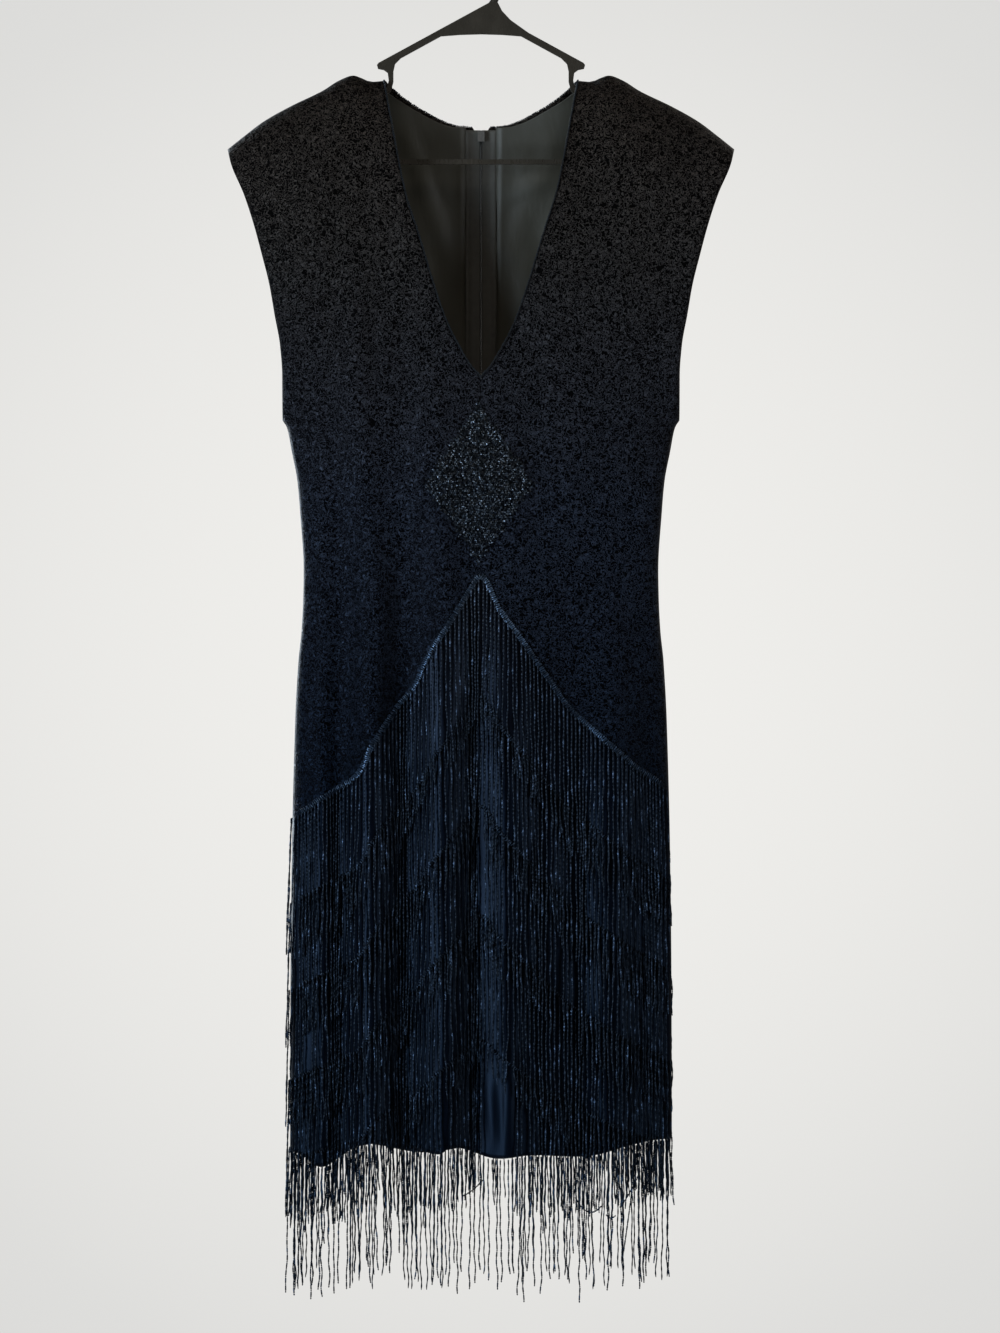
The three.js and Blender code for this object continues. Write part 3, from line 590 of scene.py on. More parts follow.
def add_hem_fringe(parts, half, rng, unit, sides, bare=0.16):
    groups = clumps(rng)
    for column in strand_columns(rng):
        phase, chance = rng.uniform(0, 6.28), rng.random()
        if chance < bare:
            continue
        if chance < 0.55:
            length = float(curve(SHORT_STRANDS, column)) * rng.uniform(0.72, 1.05)
        else:
            length = rng.uniform(112, HEM_STRANDS)
        place = hem_place(half, column, length, clump_drift(column, groups, length), phase, -0.9)
        add_strand(parts, place, length, unit, sides, half.facing, rng)


def add_tangles(parts, half, rng, unit, sides):
    for (x0, z0), (x1, z1), sag in TANGLES:
        length = math.hypot(x1 - x0, z1 - z0) + sag

        def place(s):
            t = s / length
            x, z = x0 + (x1 - x0) * t, z0 + (z1 - z0) * t - 4 * sag * t * (1 - t)
            flat = half.on(np.full_like(s, (x0 + x1) / 2), np.full_like(s, -1160.0), 1.6)
            return np.stack([x, flat[:, 1], z], -1)

        add_strand(parts, place, length, unit, sides, half.facing, rng)


def header_tone(x, chance, dull, sparkle):
    """Beads in the stretches of painted highlight get a bright tone; beads outside them keep to the dark end of their
    glass.
    """
    lit = any(low <= x <= high for low, high in PAINTED_HIGHLIGHT_STRETCHES)
    return sparkle + (1 - sparkle) * chance if lit else dull * chance


def add_header(parts, half, row, rng, kind):
    """A row of bugle beads laid side by side across a fringe line."""
    length, pitch, sides, dull, sparkle = kind
    samples = np.linspace(-HEADER_REACH, HEADER_REACH, 900)
    line = fringe_line(row, samples)
    arc = np.concatenate([[0], np.cumsum(np.hypot(np.diff(samples), np.diff(line)))])
    for distance in np.arange(1, arc[-1], pitch):
        x = float(np.interp(distance, arc, samples))
        hem = float(curve(half.hem, x))
        z = float(fringe_line(row, x))
        if z < hem + 2:
            z = hem + 2
        slope = (fringe_line(row, x + 1) - fringe_line(row, x - 1)) / 2
        lean = rng.normal(0, 0.16)
        across = np.array([-slope, 1.0]) / math.hypot(slope, 1)
        turn = np.array([[math.cos(lean), -math.sin(lean)], [math.sin(lean), math.cos(lean)]])
        across = turn @ across
        reach = length * rng.uniform(0.42, 0.53)
        ends = np.array([-1, -0.82, 0.82, 1]) * reach
        xs, zs = x + across[0] * ends, z + across[1] * ends + rng.normal(0, 0.25)
        path = half.on(xs, zs, 1.35 + rng.uniform(-0.1, 0.35))
        points, faces = tube(path, np.array([0.4, 0.8, 0.8, 0.4]), sides, np.array([0.0, half.facing, 0.0]))
        parts.add(points, faces, header_tone(x, rng.random(), dull, sparkle))


# ---- Small cut beads ----


def icosahedron():
    g = (1 + 5**0.5) / 2
    points = np.array([
        (-1, g, 0), (1, g, 0), (-1, -g, 0), (1, -g, 0), (0, -1, g), (0, 1, g),
        (0, -1, -g), (0, 1, -g), (g, 0, -1), (g, 0, 1), (-g, 0, -1), (-g, 0, 1),
    ])
    faces = np.array([
        (0, 11, 5), (0, 5, 1), (0, 1, 7), (0, 7, 10), (0, 10, 11), (1, 5, 9), (5, 11, 4),
        (11, 10, 2), (10, 7, 6), (7, 1, 8), (3, 9, 4), (3, 4, 2), (3, 2, 6), (3, 6, 8),
        (3, 8, 9), (4, 9, 5), (2, 4, 11), (6, 2, 10), (8, 6, 7), (9, 8, 1),
    ])
    return points / np.linalg.norm(points[0]), faces


BALL_POINTS, BALL_FACES = icosahedron()


def add_bead(parts, centre, radius, rng, squash=1.0):
    turn, _ = np.linalg.qr(rng.standard_normal((3, 3)))
    if np.linalg.det(turn) < 0:
        turn[:, 0] = -turn[:, 0]
    size = radius * np.array([rng.uniform(0.85, 1.15), squash, rng.uniform(0.85, 1.15)])
    parts.add(centre + (BALL_POINTS @ turn.T) * size, BALL_FACES, rng.random())


# ---- Materials ----


class Look:
    """A Principled material and short names for the nodes that feed it."""

    def __init__(self, name):
        self.material = bpy.data.materials.new(name)
        self.material.use_nodes = True
        self.tree = self.material.node_tree
        self.shader = self.tree.nodes["Principled BSDF"]
        self.place = self.node("ShaderNodeTexCoord").outputs["Object"]

    def node(self, kind, **settings):
        node = self.tree.nodes.new(kind)
        for key, value in settings.items():
            setattr(node, key, value)
        return node

    def put(self, socket, value):
        if isinstance(value, bpy.types.NodeSocket):
            self.tree.links.new(value, socket)
        else:
            socket.default_value = value

    def set(self, **values):
        for key, value in values.items():
            self.put(self.shader.inputs[key.replace("_", " ")], value)

    def paint(self, colour):
        self.put(self.shader.inputs["Base Color"], colour)

    def stretched(self, scale):
        node = self.node("ShaderNodeMapping")
        self.put(node.inputs["Vector"], self.place)
        node.inputs["Scale"].default_value = scale
        return node.outputs["Vector"]

    def noise(self, scale, detail=2.0, rough=0.5, distortion=0.0, vector=None):
        node = self.node("ShaderNodeTexNoise")
        self.put(node.inputs["Vector"], self.place if vector is None else vector)
        for key, value in (("Scale", scale), ("Detail", detail), ("Roughness", rough), ("Distortion", distortion)):
            node.inputs[key].default_value = value
        return node.outputs["Fac"]

    def cells(self, scale, feature="F1", output="Distance", vector=None):
        node = self.node("ShaderNodeTexVoronoi", feature=feature)
        self.put(node.inputs["Vector"], self.place if vector is None else vector)
        node.inputs["Scale"].default_value = scale
        return node.outputs[output]

    def wave(self, scale, direction="X", distortion=0.0, vector=None):
        node = self.node("ShaderNodeTexWave", bands_direction=direction)
        self.put(node.inputs["Vector"], self.place if vector is None else vector)
        node.inputs["Scale"].default_value = scale
        node.inputs["Distortion"].default_value = distortion
        return node.outputs["Fac"]

    def math(self, operation, a, b=0.0, c=0.0, clamp=False):
        node = self.node("ShaderNodeMath", operation=operation, use_clamp=clamp)
        for socket, value in zip(node.inputs, (a, b, c)):
            self.put(socket, value)
        return node.outputs[0]

    def ramp(self, factor, stops, interpolation="LINEAR"):
        node = self.node("ShaderNodeValToRGB")
        node.color_ramp.interpolation = interpolation
        elements = node.color_ramp.elements
        while len(elements) < len(stops):
            elements.new(0.5)
        for element, (at, colour) in zip(elements, stops):
            element.position = at
            element.color = (*colour, 1) if hasattr(colour, "__len__") else (colour, colour, colour, 1)
        self.put(node.inputs["Fac"], factor)
        return node.outputs["Color"]

    def mix(self, factor, a, b, blend="MIX"):
        node = self.node("ShaderNodeMix", data_type="RGBA", blend_type=blend)
        self.put(node.inputs["Factor"], factor)
        for socket, value in ((node.inputs[6], a), (node.inputs[7], b)):
            self.put(socket, (*value, 1) if isinstance(value, tuple) and len(value) == 3 else value)
        return node.outputs[2]

    def between(self, factor, low, high):
        node = self.node("ShaderNodeMapRange")
        self.put(node.inputs["Value"], factor)
        node.inputs["To Min"].default_value = low
        node.inputs["To Max"].default_value = high
        return node.outputs["Result"]

    def height(self, low, high):
        """0 at the height low and 1 at the height high, in metres."""
        split = self.node("ShaderNodeSeparateXYZ")
        self.put(split.inputs["Vector"], self.place)
        node = self.node("ShaderNodeMapRange")
        self.put(node.inputs["Value"], split.outputs["Z"])
        node.inputs["From Min"].default_value = low
        node.inputs["From Max"].default_value = high
        return node.outputs["Result"]

    def tone(self, name="tone"):
        return self.node("ShaderNodeAttribute", attribute_name=name).outputs["Fac"]

    def bump(self, height, distance, strength=1.0, normal=None):
        node = self.node("ShaderNodeBump")
        self.put(node.inputs["Height"], height)
        node.inputs["Distance"].default_value = distance
        node.inputs["Strength"].default_value = strength
        if normal is not None:
            self.put(node.inputs["Normal"], normal)
        return node.outputs["Normal"]


def beaded_cloth(name):
    """Cloth worked all over with tiny wandering beads, smooth and satiny under the fringe."""
    look = Look(name)
    height = look.height(-1.18, -0.14)
    # Painted shade: the base colour goes from a brownish black at the shoulders to a dark navy that darkens towards
    # the hem, partly the cloth's own navy and partly painted shade.
    colour = look.ramp(height, [
        (0.0, (0.0008, 0.0017, 0.0038)), (0.35, (0.0014, 0.0025, 0.0054)), (0.62, (0.0050, 0.0057, 0.0084)),
        (0.85, (0.0085, 0.0074, 0.0066)), (1.0, (0.0105, 0.0084, 0.0068)),
    ])
    patch = look.noise(7, 3, 0.6)
    colour = look.mix(look.between(patch, 0.0, 0.5), colour, look.mix(1.0, colour, (1.25, 0.98, 0.95), "MULTIPLY"))
    # Ridges run where the noise crosses its middle value, and wander as rows of beads do.
    wander = look.noise(290, 2.0, 0.55, 1.1)
    off_ridge = look.math("MULTIPLY", look.math("ABSOLUTE", look.math("SUBTRACT", wander, 0.5)), 13.0)
    ridge = look.math("SUBTRACT", 1.0, off_ridge, clamp=True)
    beads = look.cells(620, "SMOOTH_F1")
    fleck = look.cells(540, output="Color")
    spark = look.ramp(fleck, [(0.0, 0.0), (0.78, 0.0), (0.9, 0.55), (1.0, 1.0)])
    smooth = look.tone("satin")
    worked = look.math("SUBTRACT", 1.0, smooth)
    # Painted shade in the grooves between the rows of beads: there the base colour is darkened.
    groove_shade = look.math("MULTIPLY", look.math("SUBTRACT", 1.0, ridge), worked)
    groove_shaded = look.mix(groove_shade, colour, look.mix(1.0, colour, (0.08, 0.08, 0.09), "MULTIPLY"))
    # Painted glints: a few bead cells on the ridges get a base colour several times brighter.
    glint = look.math("MULTIPLY", look.math("MULTIPLY", spark, ridge), look.math("MULTIPLY", worked, 0.5))
    look.paint(look.mix(glint, groove_shaded, look.mix(1.0, groove_shaded, (4.5, 4.6, 4.9), "MULTIPLY")))
    look.set(Roughness=look.mix(smooth, look.between(spark, 0.56, 0.30), (0.36, 0.36, 0.36)))
    # Painted sheen: the specular tint is warm at the shoulders and turns dimmer and bluer towards the hem.
    height_shade_and_sheen = look.ramp(height, [
        (0.0, (0.07, 0.16, 0.32)), (0.35, (0.12, 0.22, 0.42)), (0.6, (0.34, 0.46, 0.72)),
        (0.82, (0.60, 0.58, 0.58)), (1.0, (0.70, 0.58, 0.48)),
    ])
    # Painted reflection and shade: the specular tint is raised on the bead ridges and nearly put out in the grooves
    # between them.
    on_ridge = look.math("MULTIPLY", ridge, worked)
    bright = look.mix(on_ridge, height_shade_and_sheen, look.mix(1.0, height_shade_and_sheen, (2.9, 2.9, 2.9), "MULTIPLY"))
    bright = look.mix(smooth, bright, look.mix(1.0, height_shade_and_sheen, (0.45, 0.45, 0.45), "MULTIPLY"))
    look.set(Specular_Tint=look.mix(groove_shade, bright, look.mix(1.0, height_shade_and_sheen, (0.06, 0.06, 0.07), "MULTIPLY")))
    look.shader.inputs["Specular IOR Level"].default_value = 0.3
    relief = look.math("ADD", look.math("MULTIPLY", ridge, 0.8), look.math("MULTIPLY", beads, -0.55))
    fine = look.bump(look.noise(1500, 1.0), 0.00008, 0.6)
    look.set(Normal=look.bump(look.math("MULTIPLY", relief, worked), 0.0006, 0.9, fine))
    return look.material


def satin_lining():
    look = Look("satin_lining")
    patch = look.noise(14, 3, 0.6)
    colour = look.ramp(patch, [
        (0.2, (0.032, 0.0300, 0.0226)), (0.55, (0.040, 0.0378, 0.0298)), (0.85, (0.036, 0.0384, 0.0362)),
    ])
    thread = look.wave(900, "Z", 1.2)
    weft = look.wave(800, "X", 1.0)
    weave = look.math("ADD", thread, weft)
    look.paint(colour)
    look.set(Roughness=look.between(look.noise(60, 3), 0.34, 0.5))
    look.shader.inputs["Specular IOR Level"].default_value = 0.25
    look.shader.inputs["Anisotropic"].default_value = 0.35
    wrinkle = look.bump(look.noise(38, 3, 0.6, 0.4, look.stretched((1, 1, 0.45))), 0.0016, 0.5)
    look.set(Normal=look.bump(weave, 0.00005, 0.35, wrinkle))
    return look.material


def glass_beads(name, dark, light, sparkle, roughness):
    """Black glass beads, each with a brightness of its own. The brightest share, given by sparkle, is paler and more
    metallic: painted glints, and in the cut beads partly their silver.
    """
    look = Look(name)
    tone = look.tone()
    height = look.height(-1.3, -0.5)
    # Painted shade and sheen: colour and specular tint grow darker and bluer towards the hem, over the glass's own
    # navy.
    height_shade_and_sheen = look.ramp(height, [(0.0, (0.13, 0.20, 0.31)), (0.75, (0.24, 0.33, 0.47)), (1.0, (0.52, 0.58, 0.66))])
    shade = look.ramp(tone, [(0.0, dark), (1 - sparkle, dark), (1.0, light)])
    wear = look.noise(900, 2, 0.6)
    shade = look.mix(look.between(wear, 0.0, 0.6), shade, look.mix(1.0, shade, (0.55, 0.55, 0.6), "MULTIPLY"))
    look.paint(look.mix(1.0, shade, height_shade_and_sheen, "MULTIPLY"))
    look.set(Metallic=look.ramp(tone, [(0.0, 0.0), (1 - sparkle, 0.0), (1.0, 0.75)]))
    look.set(Roughness=look.ramp(tone, [(0.0, roughness + 0.16), (1.0, roughness)]))
    look.set(Specular_Tint=height_shade_and_sheen)
    look.shader.inputs["Specular IOR Level"].default_value = 0.5
    look.set(Normal=look.bump(wear, 0.00012, 0.6))
    return look.material


def tape_cloth():
    look = Look("woven_tape")
    colour = look.ramp(look.noise(180, 3, 0.6), [(0.2, (0.034, 0.032, 0.026)), (0.8, (0.052, 0.049, 0.040))])
    twill = look.wave(420, "DIAGONAL", 0.5)
    look.paint(look.mix(look.math("MULTIPLY", twill, 0.5), colour, (0.010, 0.010, 0.009)))
    look.set(Roughness=look.between(twill, 0.75, 0.6))
    look.set(Normal=look.bump(twill, 0.00025, 0.7))
    return look.material


def zip_metal():
    look = Look("zip_metal")
    worn = look.noise(700, 4, 0.65)
    look.paint(look.ramp(worn, [(0.25, (0.30, 0.29, 0.27)), (0.75, (0.58, 0.57, 0.55))]))
    look.shader.inputs["Metallic"].default_value = 1.0
    look.set(Roughness=look.between(worn, 0.24, 0.42))
    look.set(Normal=look.bump(look.noise(2400, 2), 0.00004, 0.5))
    return look.material


def coil_plastic():
    look = Look("coil_plastic")
    look.paint(look.ramp(look.tone(), [(0.0, (0.012, 0.011, 0.009)), (1.0, (0.022, 0.021, 0.018))]))
    look.set(Roughness=look.between(look.noise(1200, 2), 0.3, 0.45))
    look.set(Normal=look.bump(look.noise(2500, 2), 0.00005, 0.5))
    return look.material


def hanger_plastic():
    look = Look("hanger_plastic")
    cloud = look.noise(45, 4, 0.6)
    look.paint(look.ramp(cloud, [(0.2, (0.0180, 0.0150, 0.0110)), (0.8, (0.0300, 0.0255, 0.0195))]))
    scuff = look.noise(260, 5, 0.7, 0.3, look.stretched((1, 1, 0.3)))
    look.set(Roughness=look.between(scuff, 0.20, 0.36))
    look.shader.inputs["Specular IOR Level"].default_value = 0.5
    look.set(Normal=look.bump(look.noise(900, 3, 0.6), 0.00010, 0.5, look.bump(cloud, 0.0006, 0.25)))
    return look.material


def give_material(node, material):
    node.data.materials.clear()
    node.data.materials.append(material)


# ---- The pieces ----


def build_cloth(material):
    fine = 1.0
    yoke_count, skirt_count = int(92 * fine), int(184 * fine)
    rows = cloth_rows(yoke_count, skirt_count, [0.882])
    columns = cloth_columns(int(57 * fine))
    grids = [cloth_grid(FRONT, side, columns, rows) for side in (1, -1)]
    points, faces = shell(grids, 0, -CLOTH, -1, level_from=UNDERARM_Z)
    panel = new_piece("front", points, faces, material, "beaded_cloth", tones={"satin": satin_part(points)})
    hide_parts("front_panel")
    panels = {"front": panel}
    rows = cloth_rows(int(70 * fine), int(130 * fine))
    columns = cloth_columns(int(44 * fine))
    for name, side in (("left", 1), ("right", -1)):
        grid = cloth_grid(BACK, side, columns, rows)
        points, faces = shell([grid], 0, -CLOTH, 1, side, UNDERARM_Z)
        panel = new_piece(f"back_{name}", points, faces, material, "beaded_cloth", tones={"satin": satin_part(points)})
        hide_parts(f"back_panel_{name}")
        panels[f"back_{name}"] = panel
    return panels


def satin_part(points):
    """1 below the first fringe line, where the cloth is smooth, and 0 above it."""
    return ease((fringe_line(FRINGE_ROWS[0], points[:, 0]) - points[:, 2] + 2) / 6)


def build_linings(material):
    linings = []
    columns = cloth_columns(46)[1:]
    rows = np.linspace(0, 1, 74) ** 1.35
    for name, side in (("left", 1), ("right", -1)):
        grid = cloth_grid(BACK, side, np.concatenate([[0], columns]), rows)
        edge = TAPE_OUTER_X + 0.6
        x = side * grid[..., 0]
        first = x[:1]
        grid[..., 0] = side * (edge + (x - first) * (x[-1:] - edge) / (x[-1:] - first))
        crease = crease_push(LINING_CREASES, grid[..., 0], grid[..., 2])
        fade = np.clip(rows / 0.12, 0, 1)[None, :] * np.clip((np.abs(grid[..., 0]) - edge) / 14, 0, 1)
        grid[..., 1] += np.minimum(crease, 0.3) * fade
        points, faces = shell([grid], LINING_OUTER, LINING_OUTER - LINING, 1, side)
        lining = new_piece(f"lining_{name}", points, faces, material, "lining_cloth")
        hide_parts(f"back_lining_{name}")
        linings.append(lining)
    return linings


def back_depth(x, z):
    """Depth of the back's outer surface near the centre, at any height."""
    z = np.asarray(z, float)
    upper_left = 1 - np.clip((-193 - z) / SHOULDER_ROUND, 0, 1)
    upper = BACK_NECK_DEPTH + (curve(BACK_DEPTH, z) - BACK_NECK_DEPTH) * (1 - upper_left * upper_left)
    return np.where(z > UNDERARM_Z, upper, BACK.skirt_depth(np.full_like(z, x), z))


def build_zip(tape_material, coil_material, metal):
    tapes = []
    z = np.linspace(ZIP_TOP_Z, ZIP_BOTTOM_Z, 150)
    across = np.array([0, 0.06, 0.1, 0.5, 0.8, 0.84, 0.94, 1.0])
    relief = np.array([0, 0.25, 0.0, 0.05, 0.0, 0.28, 0.28, 0.0])
    for name, side in (("left", 1), ("right", -1)):
        x = side * (TAPE_INNER_X + (TAPE_OUTER_X - TAPE_INNER_X) * across)
        ripple = 0.12 * np.sin(z / 9 + side)
        y = back_depth(5.0, z)[None, :] - relief[:, None] + 0 * x[:, None] + ripple[None, :]
        grid = np.stack([x[:, None] + 0 * z[None, :], y, z[None, :] + 0 * x[:, None]], -1)
        points, faces = shell([grid], LINING_OUTER - 0.2, LINING_OUTER - 0.75, 1, side)
        tape = new_piece(f"tape_{name}", points, faces, tape_material, "zip_tape")
        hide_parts(f"zip_tape_{name}")
        tapes.append(tape)
    rng = np.random.default_rng(5)
    teeth = Parts()
    for z_tooth in np.arange(COIL_TOP_Z - 0.6, ZIP_BOTTOM_Z, -1.3):
        for side in (-1, 1):
            y = float(back_depth(0.0, z_tooth + 0.3 * side)) + LINING_OUTER
            path = np.array([(side * dx, y + dy, z_tooth + 0.32 * side) for dx, dy in TOOTH])
            points, faces = tube(path, [0.3, 0.34, 0.36, 0.26], 4, np.array([0.0, 0.0, 1.0]))
            teeth.add(points, faces, rng.random())
    cord_z = np.linspace(COIL_TOP_Z, ZIP_BOTTOM_Z, 120)
    for side in (-1, 1):
        depth = np.array([float(back_depth(0.0, z_cord)) for z_cord in cord_z]) + LINING_OUTER - 0.7
        path = np.stack([np.full_like(cord_z, side * 0.5), depth, cord_z], -1)
        points, faces = tube(path, np.full(len(cord_z), 0.52), 6, np.array([0.0, 1.0, 0.0]))
        teeth.add(points, faces, 0.1)
    coil = teeth.piece("coil", coil_material, "zip_tape")
    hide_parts("zip_coil")
    for node in ("zip_slider", "zip_pull"):
        give_material(frame["nodes"][node], metal)
        round_edges(frame["nodes"][node], 0.00025)
    return tapes, coil


def round_edges(node, width):
    bevel = node.modifiers.new("rounded", "BEVEL")
    bevel.width = width
    bevel.segments = 2
    bevel.limit_method = "ANGLE"
    bevel.angle_limit = math.radians(38)


def build_diamond(material):
    """Cut beads sewn close together, with an uneven stepped edge."""
    rng = np.random.default_rng(23)
    parts = Parts()
    rise = BEAD_PITCH * 0.88
    rows = int(DIAMOND_HALF_HEIGHT / rise)
    for r in range(-rows, rows + 1):
        z = DIAMOND_Z + r * rise
        reach = DIAMOND_HALF_WIDTH * (1 - abs(r) / (rows + 0.5)) + rng.uniform(-2.6, 2.2)
        offset = BEAD_PITCH / 2 if r % 2 else 0
        for x in np.arange(offset - 60, 60, BEAD_PITCH):
            if abs(x) > max(reach, 1.2) or rng.random() < 0.05:
                continue
            px, pz = DIAMOND_X + x + rng.normal(0, 0.28), z + rng.normal(0, 0.28)
            centre = surface_point(px, pz, 0.95 + rng.uniform(-0.1, 0.35))
            add_bead(parts, centre, rng.uniform(0.85, 1.12), rng, 0.9)
    piece = parts.piece("diamond", material, "pale_beads", smooth=False)
    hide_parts("diamond_motif")
    return piece


def surface_point(x, z, lift):
    """A point on the front near the centre line, above or below the underarm."""
    if z < UNDERARM_Z:
        return FRONT.on(np.array([x]), np.array([z]), lift)[0]
    return front_yoke_point(x, z, lift)


def front_yoke_point(x, z, lift):
    side = 1.0 if x >= 0 else -1.0

    def depth_at(px):
        top = float(FRONT.top_z(np.array(NECK_POINT_X)))
        row = (top - z) / (top - UNDERARM_Z)
        inner = float(FRONT.inner_x(top + (UNDERARM_Z - top) * row))
        outer = float(curve(ARMHOLE, z))
        share = np.clip((abs(px) - inner) / (outer - inner), 0, 1)
        column = np.array([share * UNDERARM_X])
        _, depth, _ = FRONT.yoke(side, column, np.array([row]))
        return float(depth[0])

    slope = np.clip((depth_at(x + 1.5 * side) - depth_at(x)) / 1.5 * side, -1, 1)
    length = math.hypot(1, slope)
    return np.array([x - slope / length * lift, -depth_at(x) - lift / length, z])


def build_neck_edge(material):
    """Small round beads along the V and along the back neckline."""
    rng = np.random.default_rng(7)
    front_parts = Parts()
    for side in (1, -1):
        rows = np.linspace(0.0, 0.882, 900)
        x, depth, z = FRONT.yoke(side, np.zeros_like(rows), rows)
        path = np.stack([x, -depth, z], -1)
        add_edge_beads(front_parts, path, np.array([-side * 0.25, -0.6, 0.1]), rng)
    neck_front = front_parts.piece("neck_beads_front", material, "strand_beads")
    back_parts = Parts()
    for side in (1, -1):
        column = (np.linspace(8.5, NECK_POINT_X, 300) - 8) / (SHOULDER_TIP_X - 8) * UNDERARM_X
        x, depth, z = BACK.yoke(side, column, np.zeros_like(column))
        path = np.stack([x, depth, z], -1)
        add_edge_beads(back_parts, path, np.array([0.0, 0.2, 0.5]), rng)
    neck_back = back_parts.piece("neck_beads_back", material, "strand_beads")
    return neck_front, neck_back


def add_edge_beads(parts, path, shift, rng):
    steps = np.linalg.norm(np.diff(path, axis=0), axis=1)
    arc = np.concatenate([[0], np.cumsum(steps)])
    for distance in np.arange(1, arc[-1] - 0.5, 1.9):
        centre = np.array([np.interp(distance, arc, path[:, i]) for i in range(3)]) + shift
        add_bead(parts, centre + rng.normal(0, 0.12, 3), rng.uniform(0.95, 1.15), rng)


def build_fringe(strand_material, header_material):
    """Every fringe row, front and back, with the bead row that it is sewn on with."""
    pieces = {"front": [], "back": []}
    for key, half, unit in (("front", FRONT, BUGLE_AND_SEED), ("back", BACK, PLAIN_UNIT)):
        for i, row in enumerate(FRINGE_ROWS):
            rng = np.random.default_rng(100 + 10 * i + (0 if half is FRONT else 5))
            parts = Parts()
            add_fringe_row(parts, half, row, i == len(FRINGE_ROWS) - 1, rng, unit, 4)
            if i > 0 or half is BACK:
                add_header(parts, half, row, rng, LOWER_HEADER)
            piece = parts.piece(f"strands_{key}_{i + 1}", strand_material, "strand_beads")
            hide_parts(f"fringe_{key}_{i + 1}")
            pieces[key].append(piece)
        rng = np.random.default_rng(300 + (0 if half is FRONT else 5))
        parts = Parts()
        add_hem_fringe(parts, half, rng, unit, 4, 0.16 if half is FRONT else 0.4)
        if half is FRONT:
            add_tangles(parts, half, rng, unit, 4)
        piece = parts.piece(f"strands_hem_{key}", strand_material, "strand_beads")
        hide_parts(f"hem_fringe_{key}")
        pieces[key].append(piece)
    rng = np.random.default_rng(200)
    parts = Parts()
    add_header(parts, FRONT, FRINGE_ROWS[0], rng, CHEVRON_HEADER)
    band = parts.piece("chevron", header_material, "pale_beads", smooth=True)
    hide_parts("chevron_band")
    pieces["front"].append(band)
    return pieces


# ---- Floor, backdrop and light ----


def add_floor():
    mesh = bpy.data.meshes.new("floor")
    turn = np.linspace(0, 2 * np.pi, 65)[:-1]
    ring = [(1.15 * math.cos(a), 1.15 * math.sin(a), -1.72) for a in turn]
    mesh.from_pydata(ring, [], [tuple(range(64))])
    look = Look("floor_paint")
    look.paint(look.ramp(look.noise(3, 3), [(0.3, (0.70, 0.69, 0.67)), (0.7, (0.74, 0.73, 0.71))]))
    look.shader.inputs["Roughness"].default_value = 0.85
    mesh.materials.append(look.material)
    floor = bpy.data.objects.new("floor", mesh)
    bpy.context.collection.objects.link(floor)


def add_world():
    """A pale studio wall, a little darker away from the middle, that lights only softly."""
    world = bpy.data.worlds.new("studio")
    world.use_nodes = True
    tree = world.node_tree
    background = tree.nodes["Background"]
    coordinates = tree.nodes.new("ShaderNodeTexCoord")
    split = tree.nodes.new("ShaderNodeSeparateXYZ")
    tree.links.new(coordinates.outputs["Generated"], split.inputs[0])
    facing = tree.nodes.new("ShaderNodeMath")
    facing.operation = "ABSOLUTE"
    tree.links.new(split.outputs["Y"], facing.inputs[0])
    ramp = tree.nodes.new("ShaderNodeValToRGB")
    ramp.color_ramp.elements[0].position = 0.9945
    ramp.color_ramp.elements[0].color = (0.665, 0.665, 0.655, 1)
    ramp.color_ramp.elements[1].position = 0.9995
    ramp.color_ramp.elements[1].color = (0.868, 0.860, 0.835, 1)
    tree.links.new(facing.outputs[0], ramp.inputs["Fac"])
    path = tree.nodes.new("ShaderNodeLightPath")
    strength = tree.nodes.new("ShaderNodeMapRange")
    strength.inputs["To Min"].default_value = 0.06
    strength.inputs["To Max"].default_value = 1.0
    tree.links.new(path.outputs["Is Camera Ray"], strength.inputs["Value"])
    tree.links.new(ramp.outputs["Color"], background.inputs["Color"])
    tree.links.new(strength.outputs["Result"], background.inputs["Strength"])
    bpy.context.scene.world = world


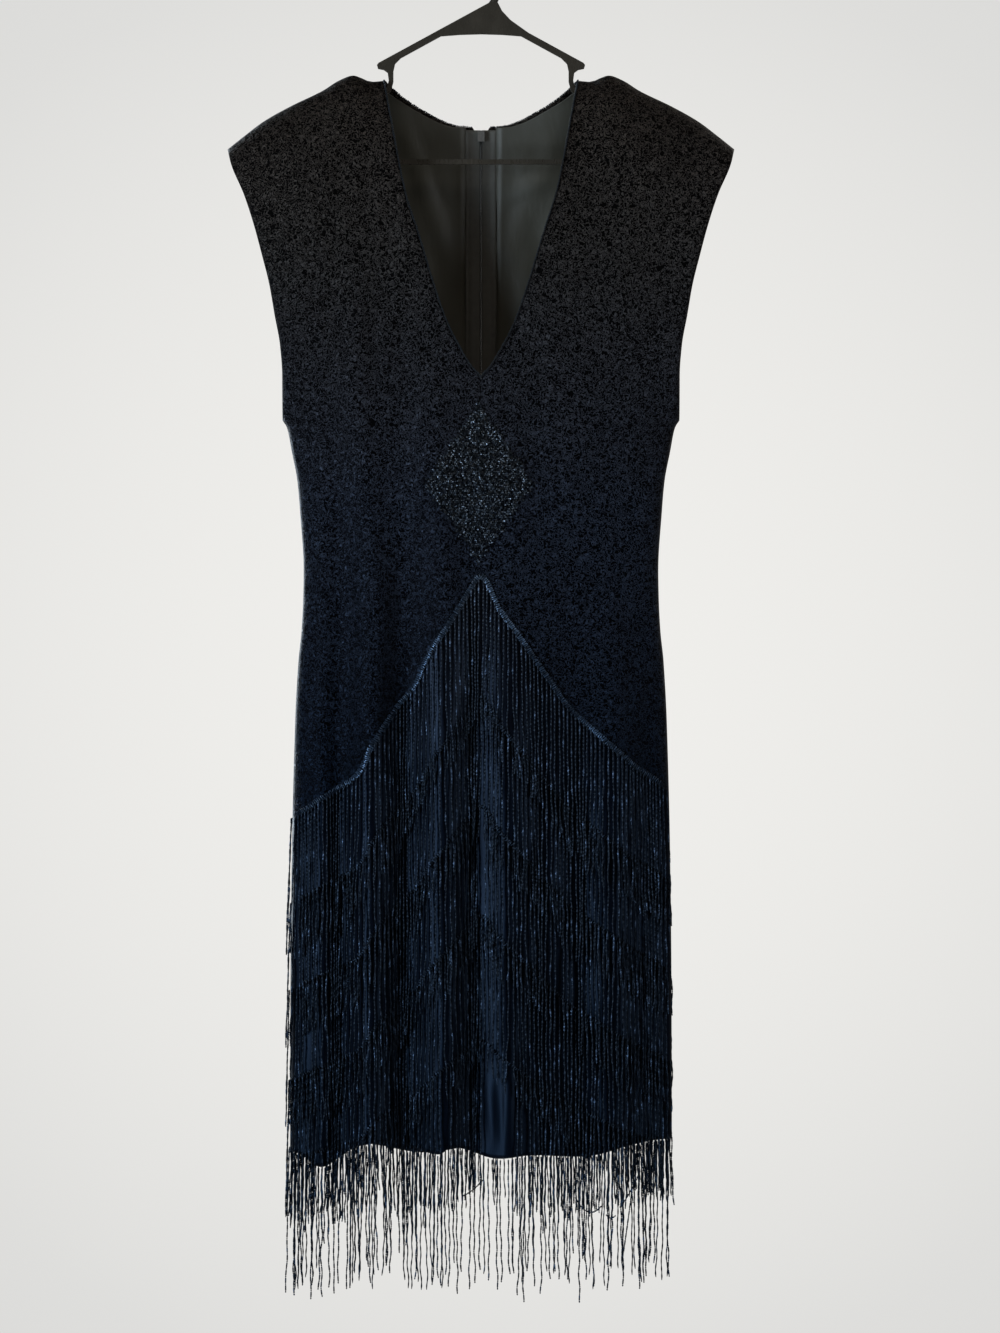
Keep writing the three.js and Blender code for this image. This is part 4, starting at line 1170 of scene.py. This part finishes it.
def add_light(name, place, aim, size, power, colour):
    data = bpy.data.lights.new(name, "AREA")
    data.shape = "RECTANGLE"
    data.size, data.size_y = size
    data.energy = power
    data.color = colour
    light = bpy.data.objects.new(name, data)
    light.location = place
    light.rotation_mode = "QUATERNION"
    light.rotation_quaternion = (Vector(aim) - Vector(place)).to_track_quat("-Z", "Y")
    bpy.context.collection.objects.link(light)


# Name, place, aim, size, power and colour of each light, in metres and watts.
LIGHTS = [
    ("window", (-2.3, -1.8, -0.6), (0, 0, -0.7), (1.0, 2.0), 124, (0.74, 0.88, 1.0)),
    ("overhead", (0.2, -1.3, 1.5), (0, 0, -0.3), (1.6, 1.2), 15, (1.0, 0.92, 0.82)),
    ("fill", (1.35, -0.95, -0.6), (0.12, 0, -0.6), (0.6, 1.5), 13, (0.90, 0.95, 1.0)),
    ("rear", (-1.9, 1.9, 0.0), (0, 0, -0.7), (1.2, 2.0), 70, (0.78, 0.9, 1.0)),
    ("rear_fill", (1.9, 1.6, 0.6), (0, 0, -0.6), (1.4, 1.8), 14, (1.0, 0.95, 0.88)),
]


# ---- Assembly ----

add_camera()
cloth = beaded_cloth("beaded_cloth")
lining_material = satin_lining()
strands = glass_beads("strand_glass", (0.0030, 0.0040, 0.0060), (0.20, 0.22, 0.25), 0.22, 0.24)
header = glass_beads("bugle_glass", (0.020, 0.026, 0.033), (0.22, 0.26, 0.30), 0.8, 0.16)
cut_beads = glass_beads("cut_glass", (0.0025, 0.0030, 0.0034), (0.19, 0.21, 0.23), 0.34, 0.16)
edge = glass_beads("edge_glass", (0.0012, 0.0012, 0.0013), (0.020, 0.019, 0.018), 0.12, 0.5)

panels = build_cloth(cloth)
linings = build_linings(lining_material)
tapes, coil = build_zip(tape_cloth(), coil_plastic(), zip_metal())
diamond = build_diamond(cut_beads)
neck_front, neck_back = build_neck_edge(edge)
fringe = build_fringe(strands, header)
hanger = frame["nodes"]["hanger"]
give_material(hanger, hanger_plastic())
round_edges(hanger, 0.0009)

add_floor()
add_world()
for light in LIGHTS:
    add_light(*light)
bpy.context.scene.view_settings.view_transform = "Standard"
bpy.context.scene.view_settings.look = "None"

total = sum(sum(len(p.vertices) - 2 for p in o.data.polygons) for o in bpy.data.objects
            if o.type == "MESH" and o.name not in frame["nodes"])
print("triangles added", total)
